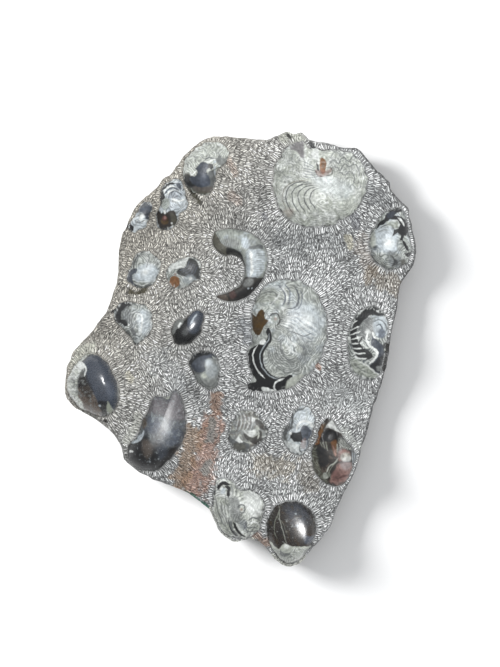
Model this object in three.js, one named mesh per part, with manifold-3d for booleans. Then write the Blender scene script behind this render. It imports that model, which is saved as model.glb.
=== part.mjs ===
// Ammonite fossil cluster: a slab of dark limestone with polished goniatite ammonites and one crescent of whorl
// standing proud of its chiselled face. Millimetres, +Z up. The slab lies on its flat back, its long way along Y.
// Each shell is a solid of its own, seated in a blind pocket that is cut in the stone to the shell's outline.
import * as THREE from "three";
import { mergeVertices } from "three/addons/utils/BufferGeometryUtils.js";
import Module from "manifold-3d";

const wasm = await Module();
wasm.setup();

// Driving dimensions.
const FACE_HEIGHT = 27; // the chiselled face above the flat back
const EDGE_ROLL = 7; // how far the face rolls down at the slab's edge
const ROLL_FROM = 0.93; // share of the way out from the middle at which the roll begins
const SIDE_UNDERCUT = 5; // how far the broken side draws in at the back
const SIDE_CHIPS = 1.6; // depth of the chips in the broken side
const FACE_CHIPS = 0.45; // unevenness of the chiselled face
const MOUND_REACH = 13; // how far round a shell the stone is left standing
const SEAT_WALL = 5; // upright part of a shell's seat
const SEAT_TAPER = 4; // rounded part of the seat below it
const SEAT_FOOT = 0.75; // width of the seat's floor as a share of the shell
const CLEARANCE = 0.35; // gap between a shell and its pocket
const CUTTER_TOP = 90; // a height above everything

// Mesh fineness.
const SLAB_RINGS = [0.15, 0.31, 0.46, 0.6, 0.73, 0.84, 0.93, 0.975, 1];
const SHELL_RINGS = [0.2, 0.5, 0.78, 0.94, 1];

const STONE = { color: 0x7d7a75, roughness: 0.9, metalness: 0 };
const PALE_CALCITE = { color: 0xc9ccc6, roughness: 0.3, metalness: 0 };
const DARK_CALCITE = { color: 0x3a3d42, roughness: 0.25, metalness: 0 };

// The slab's edge seen from above, anticlockwise from the left side.
const EDGE = [
  [-129, 14], [-143, -1], [-150, -18], [-151, -37], [-142, -51], [-126, -60], [-110, -73], [-102, -87],
  [-94, -101], [-76, -112], [-58, -119], [-33, -133], [-26, -140], [-18, -157], [-4, -166], [9, -164],
  [21, -170], [29, -180], [37, -186], [44, -187], [52, -184], [61, -173], [78, -152], [82, -141],
  [89, -125], [98, -107], [104, -86], [114, -53], [121, -32], [126, -14], [129, 5], [134, 29],
  [137, 51], [150, 76], [151, 83], [150, 94], [146, 113], [144, 122], [130, 137], [128, 144],
  [111, 161], [101, 172], [88, 173], [79, 176], [59, 180], [52, 186], [41, 187], [23, 180],
  [-2, 182], [-28, 182], [-35, 178], [-53, 160], [-68, 145], [-72, 139], [-85, 128], [-98, 106],
  [-102, 98], [-105, 81], [-106, 59], [-115, 33],
];
const SLAB_MIDDLE = [0, 8]; // every point of the edge is in sight of it

// rim: a shell's outline where it meets the stone, anticlockwise. peak: the top of its dome.
// rise: dome above the rim. mound: stone left standing under it. full: 2 for a ball, more for a flatter top.
// bowls: hollows sunk in the dome, such as an umbilicus or an open chamber, with half their length and width,
// degrees from +X to the length, and depth. dark: jet chamber filling instead of pale calcite.
const SHELLS = {
  ammonite_corner_dome: {
    rim: [[-10, 166], [-12, 172], [-18, 177], [-28, 177], [-36, 174], [-42, 168], [-48, 161], [-50, 152],
      [-48, 143], [-42, 136], [-33, 132], [-26, 134], [-22, 142], [-21, 150], [-18, 155], [-12, 160]],
    peak: [-32, 149], rise: 11, mound: 4, full: 2.1,
  },
  ammonite_red_eye: {
    rim: [[-54, 146], [-61, 144], [-67, 139], [-69, 132], [-68, 125], [-71, 119], [-73, 112], [-71, 105],
      [-65, 102], [-59, 104], [-54, 109], [-53, 116], [-48, 119], [-45, 125], [-47, 132], [-49, 141]],
    peak: [-60, 125], rise: 7, mound: 3, full: 2.3,
    bowls: [{ at: [-65, 111], long: 4, short: 4, turn: 0, depth: 1.2 }],
  },
  ammonite_left_edge: {
    rim: [[-77, 125], [-83, 126], [-87, 121], [-90, 115], [-93, 110], [-96, 104], [-94, 100], [-88, 101],
      [-82, 105], [-78, 112], [-76, 119]],
    peak: [-85, 113], rise: 6, mound: 3, full: 2.1,
  },
  ammonite_grey_swirl: {
    rim: [[-78, 83], [-85, 83], [-91, 79], [-94, 72], [-97, 65], [-97, 59], [-92, 54], [-85, 52],
      [-78, 54], [-72, 60], [-69, 68], [-70, 76]],
    peak: [-83, 64], rise: 7, mound: 3, full: 2.4,
  },
  ammonite_orange_eye: {
    rim: [[-41, 79], [-50, 78], [-58, 74], [-63, 67], [-62, 58], [-57, 52], [-49, 53], [-42, 56],
      [-36, 61], [-34, 70], [-36, 76]],
    peak: [-46, 68], rise: 6, mound: 2, full: 2.4,
    bowls: [{ at: [-57, 58], long: 4.5, short: 4, turn: 0, depth: 1.2 }],
  },
  ammonite_great_top: {
    rim: [[54, 178], [45, 177], [38, 171], [32, 161], [28, 147], [30, 132], [34, 120], [41, 112],
      [51, 106], [65, 105], [79, 107], [91, 113], [100, 121], [106, 131], [109, 143], [107, 153],
      [102, 162], [94, 168], [82, 170], [68, 171], [59, 172]],
    peak: [72, 134], rise: 14, mound: 5, full: 2.6,
    bowls: [{ at: [70, 153], long: 8, short: 6.5, turn: 20, depth: 4 }],
  },
  ammonite_right_shoulder: {
    rim: [[136, 120], [129, 119], [122, 115], [118, 108], [112, 101], [111, 92], [112, 82], [117, 75],
      [124, 70], [134, 70], [142, 73], [145, 78], [147, 85], [146, 92], [144, 101], [142, 111], [140, 117]],
    peak: [125, 86], rise: 12, mound: 4, full: 2.2,
  },
  ammonite_great_centre: {
    rim: [[51, 58], [38, 59], [26, 56], [17, 49], [12, 39], [10, 28], [11, 16], [10, 5], [7, -4],
      [9, -16], [11, -25], [7, -33], [19, -37], [33, -36], [44, -32], [53, -26], [61, -18], [68, -8],
      [72, 2], [74, 14], [74, 27], [69, 39], [62, 51]],
    peak: [47, 17], rise: 16, mound: 5, full: 2.6,
    bowls: [{ at: [29, 25], long: 6.5, short: 5, turn: 30, depth: 3 }],
  },
  ammonite_right_edge: {
    rim: [[113, 36], [105, 34], [99, 27], [94, 17], [92, 8], [93, -3], [94, -13], [98, -22], [106, -26],
      [114, -26], [120, -21], [123, -10], [125, 2], [127, 13], [127, 23], [121, 32]],
    peak: [111, 8], rise: 10, mound: 3, full: 2.4,
  },
  ammonite_marbled_left: {
    rim: [[-97, 41], [-104, 39], [-109, 33], [-108, 25], [-103, 19], [-97, 12], [-91, 4], [-85, 6],
      [-79, 12], [-76, 20], [-76, 30], [-81, 37], [-89, 40]],
    peak: [-91, 20], rise: 7, mound: 3, full: 2.4,
  },
  ammonite_teardrop: {
    rim: [[-35, 33], [-41, 32], [-45, 27], [-48, 25], [-52, 26], [-57, 22], [-59, 15], [-57, 7], [-51, 4],
      [-44, 5], [-38, 9], [-34, 15], [-32, 22], [-31, 29]],
    peak: [-44, 16], rise: 10, mound: 3, full: 2, dark: true,
  },
  ammonite_snail: {
    rim: [[-30, -2], [-38, -4], [-44, -9], [-44, -16], [-40, -22], [-36, -28], [-32, -33], [-25, -35],
      [-19, -30], [-18, -22], [-18, -13], [-22, -6]],
    peak: [-30, -18], rise: 8, mound: 3, full: 2.2,
  },
  ammonite_west_dome: {
    rim: [[-128, -4], [-134, -6], [-140, -11], [-146, -19], [-149, -29], [-148, -38], [-143, -46],
      [-136, -52], [-129, -55], [-122, -58], [-116, -58], [-110, -54], [-106, -47], [-105, -36],
      [-108, -25], [-113, -15], [-120, -7]],
    peak: [-118, -29], rise: 18, mound: 3, full: 2, dark: true,
  },
  ammonite_south_west_dome: {
    rim: [[-56, -36], [-64, -42], [-73, -41], [-77, -47], [-80, -55], [-85, -65], [-89, -76], [-94, -81],
      [-97, -89], [-96, -95], [-91, -100], [-83, -104], [-75, -105], [-68, -102], [-60, -94], [-53, -84],
      [-48, -75], [-47, -64], [-48, -53], [-51, -42]],
    peak: [-74, -82], rise: 16, mound: 4, full: 2.1, dark: true,
  },
  ammonite_flat_cut: {
    rim: [[8, -53], [1, -54], [-5, -60], [-10, -69], [-11, -78], [-7, -86], [0, -90], [7, -88],
      [13, -84], [19, -78], [23, -71], [19, -62], [14, -55]],
    peak: [5, -71], rise: 4, mound: 2, full: 3,
  },
  ammonite_small_hooked: {
    rim: [[56, -48], [49, -51], [44, -57], [42, -65], [36, -70], [36, -78], [40, -85], [47, -90],
      [53, -92], [57, -87], [59, -79], [62, -73], [64, -64], [62, -54]],
    peak: [50, -70], rise: 7, mound: 3, full: 2.3,
  },
  ammonite_hollow_brown: {
    rim: [[79, -62], [73, -61], [68, -68], [65, -78], [62, -90], [62, -101], [67, -110], [74, -116],
      [81, -118], [87, -116], [93, -109], [97, -100], [99, -91], [96, -85], [90, -78], [86, -70]],
    peak: [87, -100], rise: 11, mound: 3, full: 2.2,
    bowls: [{ at: [78, -76], long: 9, short: 7, turn: 80, depth: 8 }],
  },
  ammonite_bottom_swirl: {
    rim: [[-14, -112], [-19, -113], [-22, -119], [-23, -130], [-24, -139], [-20, -148], [-14, -157],
      [-6, -162], [2, -163], [10, -161], [16, -155], [18, -147], [20, -136], [17, -126], [9, -121],
      [0, -121], [-7, -114]],
    peak: [5, -139], rise: 12, mound: 4, full: 2.3,
    bowls: [{ at: [0, -136], long: 4.5, short: 3.5, turn: 0, depth: 1.5 }],
  },
  ammonite_bottom_dome: {
    rim: [[44, -131], [34, -133], [27, -139], [23, -149], [23, -160], [26, -170], [31, -177], [38, -183],
      [44, -184], [51, -181], [56, -175], [61, -168], [64, -160], [65, -151], [61, -140], [54, -133]],
    peak: [54, -165], rise: 16, mound: 4, full: 2, dark: true,
  },
};

// The crescent is half a whorl, broken open. Along it: [direction from its middle in degrees, inner radius,
// outer radius, height of its crest]. It runs from its blunt end at the upper left round to its point.
const CRESCENT = {
  middle: [-7, 70],
  mound: 2,
  stations: [
    [131, 19.5, 24, 2], [125, 13.5, 29.5, 5], [116, 11.3, 33.5, 7.5], [100, 11, 33.5, 9],
    [80, 11, 32.7, 9.5], [58, 10.8, 33.2, 10], [36, 10.8, 33, 10.5], [13, 11, 31, 10.5],
    [-11, 11.6, 28.4, 10], [-36, 13, 27, 9], [-61, 15.8, 28, 7.5], [-85, 18.8, 29.2, 6],
    [-104, 23, 29.2, 4], [-118, 27, 28.8, 2],
  ],
};
// The crescent's cross-section: [share of the way from the inner to the outer wall, share of the crest's height].
const CRESCENT_SECTION = [[0, 0], [0.08, 0.7], [0.32, 1], [0.78, 0.66], [1, 0]];

const radians = THREE.MathUtils.degToRad;

// A closed mesh from rings of equal length, each anticlockwise seen from the first point, with a point at each end.
function closedOver(first, rings, last) {
  const points = [first, ...rings.flat(), last];
  const count = rings[0].length;
  const index = [];
  for (let j = 0; j < count; j++) {
    const next = (j + 1) % count;
    index.push(0, 1 + j, 1 + next);
    for (let k = 0; k + 1 < rings.length; k++) {
      const upper = 1 + k * count;
      const lower = upper + count;
      index.push(upper + j, lower + j, lower + next, upper + j, lower + next, upper + next);
    }
    const lowest = 1 + (rings.length - 1) * count;
    index.push(points.length - 1, lowest + next, lowest + j);
  }
  return new THREE.BufferGeometry()
    .setAttribute("position", new THREE.Float32BufferAttribute(points.flat(), 3))
    .setIndex(index);
}

function asSolid(geometry) {
  const bare = geometry.clone().deleteAttribute("normal").deleteAttribute("uv");
  const merged = mergeVertices(bare, 1e-4);
  return new wasm.Manifold(
    new wasm.Mesh({
      numProp: 3,
      vertProperties: merged.attributes.position.array,
      triVerts: new Uint32Array(merged.index.array),
    }),
  );
}

function asGeometry(solid) {
  const mesh = solid.getMesh();
  return new THREE.BufferGeometry()
    .setAttribute("position", new THREE.Float32BufferAttribute(mesh.vertProperties, 3))
    .setIndex(new THREE.Uint32BufferAttribute(mesh.triVerts, 1));
}

// The same unevenness for the same place, from -1 to 1.
function chip(a, b) {
  const mixed = Math.sin(a * 12.9898 + b * 78.233) * 43758.5453;
  return 2 * (mixed - Math.floor(mixed)) - 1;
}

// An outline moved outwards all round by a distance.
function grown(outline, by) {
  const out = ([ax, ay], [bx, by]) => {
    const length = Math.hypot(bx - ax, by - ay);
    return [(by - ay) / length, (ax - bx) / length];
  };
  return outline.map((point, j) => {
    const before = out(outline.at(j - 1), point);
    const after = out(point, outline[(j + 1) % outline.length]);
    const share = by / (1 + before[0] * after[0] + before[1] * after[1]);
    return [point[0] + share * (before[0] + after[0]), point[1] + share * (before[1] + after[1])];
  });
}

// How far a place lies outside an outline, and 0 inside it.
function distanceOutside(outline, x, y) {
  let [nearest, inside] = [Infinity, false];
  outline.forEach(([ax, ay], j) => {
    const [bx, by] = outline[(j + 1) % outline.length];
    const along = ((x - ax) * (bx - ax) + (y - ay) * (by - ay)) / ((bx - ax) ** 2 + (by - ay) ** 2);
    const t = THREE.MathUtils.clamp(along, 0, 1);
    nearest = Math.min(nearest, Math.hypot(x - ax - t * (bx - ax), y - ay - t * (by - ay)));
    if (ay > y !== by > y && x < ax + ((y - ay) / (by - ay)) * (bx - ax)) inside = !inside;
  });
  return inside ? 0 : nearest;
}

function middleOf(points) {
  return points[0].map((_, axis) => points.reduce((sum, point) => sum + point[axis], 0) / points.length);
}

// The slow rise and fall of the stone's face.
function swell(x, y) {
  return (
    1.6 * Math.sin(x / 38 + 0.6) +
    1.3 * Math.sin(y / 45 - 0.4) +
    1.1 * Math.sin((x + y) / 29 + 1.9) +
    0.8 * Math.sin((x - 1.3 * y) / 21 + 0.7)
  );
}

function aroundCrescent(direction, radius) {
  return [
    CRESCENT.middle[0] + radius * Math.cos(radians(direction)),
    CRESCENT.middle[1] + radius * Math.sin(radians(direction)),
  ];
}

// Where each seated piece meets the stone: its outline and the height of its rim.
const seats = Object.fromEntries(
  Object.entries(SHELLS).map(([name, shell]) => {
    const middle = middleOf(shell.rim);
    return [name, { outline: shell.rim, middle, rim: FACE_HEIGHT + swell(...middle) + shell.mound }];
  }),
);
const inner = CRESCENT.stations.map(([direction, radius]) => aroundCrescent(direction, radius));
const outer = CRESCENT.stations.map(([direction, , radius]) => aroundCrescent(direction, radius));
seats.whorl_crescent = {
  outline: [...inner, ...outer.reverse()],
  rim: FACE_HEIGHT + swell(...CRESCENT.middle) + CRESCENT.mound,
};

// Height of the chiselled face: the slow swell, raised to each shell's rim round the shell.
function faceHeight(x, y) {
  let [nearest, weights, heights] = [0, 0, 0];
  for (const { outline, rim } of Object.values(seats)) {
    const weight = Math.exp(-((distanceOutside(outline, x, y) / MOUND_REACH) ** 2));
    nearest = Math.max(nearest, weight);
    weights += weight;
    heights += weight * rim;
  }
  const open = FACE_HEIGHT + swell(x, y);
  return weights > 0 ? open * (1 - nearest) + (heights / weights) * nearest : open;
}

function rollDown(share) {
  const past = Math.max(0, (share - ROLL_FROM) / (1 - ROLL_FROM));
  return EDGE_ROLL * (1 - Math.sqrt(Math.max(0, 1 - past * past)));
}

function slab() {
  const [mx, my] = SLAB_MIDDLE;
  const face = SLAB_RINGS.map((share, k) =>
    EDGE.map(([ex, ey], j) => {
      const [x, y] = [mx + share * (ex - mx), my + share * (ey - my)];
      return [x, y, faceHeight(x, y) - rollDown(share) + FACE_CHIPS * chip(j, k)];
    }),
  );
  // The broken side, from [share of the height left, share of the undercut] at each level down to the back.
  const levels = [[0.68, 0.12], [0.4, 0.1], [0.14, 0.45], [0, 1]];
  const side = levels.map(([left, drawn], k) =>
    EDGE.map(([ex, ey], j) => {
      const chipped = left > 0 ? (SIDE_CHIPS * (1 + chip(j + 7, k))) / 2 : 0;
      const share = 1 - (SIDE_UNDERCUT * drawn + chipped) / Math.hypot(ex - mx, ey - my);
      return [mx + share * (ex - mx), my + share * (ey - my), left * face.at(-1)[j][2]];
    }),
  );
  return closedOver([mx, my, faceHeight(mx, my)], [...face, ...side], [mx, my, 0]);
}

// An outline drawn in towards a point to a share of its size, at a height.
function ringAt(outline, [mx, my], share, z) {
  return outline.map(([x, y]) => [mx + share * (x - mx), my + share * (y - my), z]);
}

// The rings of a seat below the rim, for a shell or, grown, for its pocket, and the middle of its floor.
function seatRings({ outline, middle, rim }, by) {
  const ring = (share, z) => ringAt(grown(outline, by), middle, share, z);
  const floor = rim - SEAT_WALL - SEAT_TAPER - by;
  return {
    rings: [ring(1, rim - SEAT_WALL), ring(SEAT_FOOT, floor)],
    mouth: ring(1, CUTTER_TOP),
    floor: [...middle, floor],
  };
}

function domeHeight(shell, rim, share) {
  return rim + shell.rise * (1 - share ** shell.full) ** (1 / shell.full);
}

// How far out a place lies between a shell's peak, 0, and its outline, 1.
function shareOut({ rim, peak }, [x, y]) {
  const [dx, dy] = [x - peak[0], y - peak[1]];
  const cross = (ax, ay, bx, by) => ax * by - ay * bx;
  for (const [j, [ax, ay]] of rim.entries()) {
    const [bx, by] = rim[(j + 1) % rim.length];
    const [ex, ey] = [bx - ax, by - ay];
    const reach = cross(ax - peak[0], ay - peak[1], ex, ey) / cross(dx, dy, ex, ey);
    const along = cross(ax - peak[0], ay - peak[1], dx, dy) / cross(dx, dy, ex, ey);
    if (reach > 0 && along >= 0 && along < 1) return 1 / reach;
  }
  return 0;
}

// The polished shell: its rings climb from the rim to the peak, and its bowls are sunk from above.
function shellGeometry(shell, seat) {
  const dome = SHELL_RINGS.map((share) => ringAt(seat.outline, shell.peak, share, domeHeight(shell, seat.rim, share)));
  const below = seatRings(seat, 0);
  const whole = closedOver([...shell.peak, domeHeight(shell, seat.rim, 0)], [...dome, ...below.rings], below.floor);
  if (!shell.bowls) return whole;
  const bowls = shell.bowls.map(({ at, long, short, turn, depth }) =>
    new THREE.SphereGeometry(1, 12, 8)
      .rotateX(Math.PI / 2)
      .scale(long, short, depth)
      .rotateZ(radians(turn))
      .translate(...at, domeHeight(shell, seat.rim, shareOut(shell, at))),
  );
  return asGeometry(bowls.reduce((rest, bowl) => rest.subtract(asSolid(bowl)), asSolid(whole)));
}

function shellPocket(seat) {
  const { rings, mouth, floor } = seatRings(seat, CLEARANCE);
  return asSolid(closedOver([...seat.middle, CUTTER_TOP], [mouth, ...rings], floor));
}

// The crescent swept along its stations from its upright seat walls up over its crest.
function crescentGeometry({ rim }) {
  const rings = CRESCENT.stations.map(([direction, inside, outside, crest]) => {
    const section = [
      [0, -SEAT_WALL],
      ...CRESCENT_SECTION.map(([across, share]) => [across, share * crest]),
      [1, -SEAT_WALL],
    ];
    return section.map(([across, up]) => [...aroundCrescent(direction, inside + across * (outside - inside)), rim + up]);
  });
  return closedOver(middleOf(rings[0]), rings, middleOf(rings.at(-1)));
}

function crescentPocket({ outline, rim }) {
  const shape = new THREE.Shape(grown(outline, CLEARANCE).map((point) => new THREE.Vector2(...point)));
  const floor = rim - SEAT_WALL - CLEARANCE;
  const block = new THREE.ExtrudeGeometry(shape, { depth: CUTTER_TOP - floor, bevelEnabled: false });
  return asSolid(block.translate(0, 0, floor));
}

function piece(name, geometry, finish) {
  const mesh = new THREE.Mesh(geometry, new THREE.MeshStandardMaterial(finish));
  mesh.name = name;
  return mesh;
}

const pockets = Object.keys(SHELLS).map((name) => shellPocket(seats[name]));
const cutters = [...pockets, crescentPocket(seats.whorl_crescent)];
const matrix = cutters.reduce((stone, cutter) => stone.subtract(cutter), asSolid(slab()));

const cluster = new THREE.Group();
cluster.add(piece("matrix", asGeometry(matrix), STONE));
for (const [name, shell] of Object.entries(SHELLS)) {
  cluster.add(piece(name, shellGeometry(shell, seats[name]), shell.dark ? DARK_CALCITE : PALE_CALCITE));
}
cluster.add(piece("whorl_crescent", crescentGeometry(seats.whorl_crescent), PALE_CALCITE));

// The origin is the middle of the slab's footprint, on its flat back.
const extent = new THREE.Box3().setFromObject(cluster);
cluster.position.set(-(extent.min.x + extent.max.x) / 2, -(extent.min.y + extent.max.y) / 2, 0);

export default cluster;
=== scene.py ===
import math

import bpy
import numpy as np
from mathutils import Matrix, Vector
from mathutils.geometry import delaunay_2d_cdt


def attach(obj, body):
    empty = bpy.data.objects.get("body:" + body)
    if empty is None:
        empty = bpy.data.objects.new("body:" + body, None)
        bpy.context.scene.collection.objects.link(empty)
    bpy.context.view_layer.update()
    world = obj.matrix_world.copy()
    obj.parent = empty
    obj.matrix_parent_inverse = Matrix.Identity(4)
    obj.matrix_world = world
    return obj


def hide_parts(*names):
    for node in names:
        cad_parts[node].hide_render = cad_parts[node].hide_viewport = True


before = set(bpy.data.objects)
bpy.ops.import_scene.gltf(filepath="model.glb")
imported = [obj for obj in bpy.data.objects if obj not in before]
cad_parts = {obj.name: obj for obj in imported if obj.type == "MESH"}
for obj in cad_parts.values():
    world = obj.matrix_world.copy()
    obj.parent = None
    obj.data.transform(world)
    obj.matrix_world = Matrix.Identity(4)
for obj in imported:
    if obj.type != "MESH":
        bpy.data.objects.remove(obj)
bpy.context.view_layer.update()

# Ammonite fossil cluster: a slab of dark limestone with polished goniatites. All sizes are in millimetres,
# and a mesh is turned to metres when it is made. The slab lies on its back, its long way along Y. A line or
# an outline is a list of numbers, the x,y of one place after the other. What belongs to one shell is measured
# from the peak of its dome, or from the crescent's middle.
MM = 0.001

# ---------------- camera

# Straight above the slab, and so high that the plate fills an upright frame.
VIEW_MIDDLE = (8.3, 13.2)
VIEW_TALL = 573.6
CAMERA_HEIGHT = 1900
FACE_ABOVE_BACK = 30
SENSOR_TALL = 24

lens = bpy.data.cameras.new("plate_camera")
lens.sensor_fit = "VERTICAL"
lens.sensor_height = SENSOR_TALL
lens.lens = SENSOR_TALL * (CAMERA_HEIGHT - FACE_ABOVE_BACK) / VIEW_TALL
lens.clip_end = 20  # in metres, far past the floor
camera = bpy.data.objects.new("plate_camera", lens)
camera.location = (VIEW_MIDDLE[0] * MM, VIEW_MIDDLE[1] * MM, CAMERA_HEIGHT * MM)
bpy.context.scene.collection.objects.link(camera)
bpy.context.scene.camera = camera
bpy.context.scene.view_settings.view_transform = "Standard"

# ---------------- sizes

SLAB_MIDDLE = (0, 8)
HALF_WIDE, HALF_TALL = 156, 192  # half of the field that the grids and maps over the slab cover
FACE_HEIGHT = 27  # the face above the back, before its swells
EDGE_ROLL = 7  # how far the face drops towards the slab's edge
ROLL_FROM = 0.93  # the share of the way out at which it starts to drop
ROLL_TURN = 0.85  # how much of a quarter round the drop goes through
SIDE_UNDERCUT = 5  # how far the broken side runs in under the face
MOUND_REACH = 13  # how far from a shell its mound of stone fades away
SEAT_WALL = 5  # depth of the seat that a shell stands in
SEAT_STEP = 1.6  # spacing of the points round a seat
EDGE_STEP = 1.9  # and round the slab's edge
PAINT_STEP = 0.55  # spacing of the points that carry a shell's markings

# The slab's edge seen from above, anticlockwise from the left side.
EDGE = [
    -129,14, -143,-1, -147,-10, -150,-18, -151,-37, -148,-45, -142,-51, -126,-60, -110,-73, -105,-80,
    -102,-87, -100,-95, -94,-101, -86,-107, -76,-112, -58,-119, -48,-123, -33,-133, -26,-140, -18,-157,
    -11,-163, -4,-166, 9,-164, 15,-166, 21,-170, 29,-180, 37,-186, 44,-187, 52,-184, 61,-173, 70,-163,
    78,-152, 82,-141, 89,-125, 98,-107, 102,-96, 104,-86, 109,-73, 114,-53, 118,-41, 121,-32, 126,-14, 129,5,
    131,17, 134,29, 136,41, 137,51, 140,59, 147,69, 150,76, 151,83, 150,94, 146,113, 144,122, 137,129,
    130,137, 128,144, 117,154, 111,161, 101,172, 88,173, 79,176, 67,178, 59,180, 56,183, 52,186, 47,185,
    41,187, 37,186, 30,183, 23,180, 8,181, -2,182, -16,183, -28,182, -35,178, -46,169, -53,160, -60,151,
    -68,145, -72,139, -85,128, -91,121, -98,106, -102,98, -105,81, -105,70, -106,59, -109,50, -115,33,
    -121,25,
]

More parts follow.
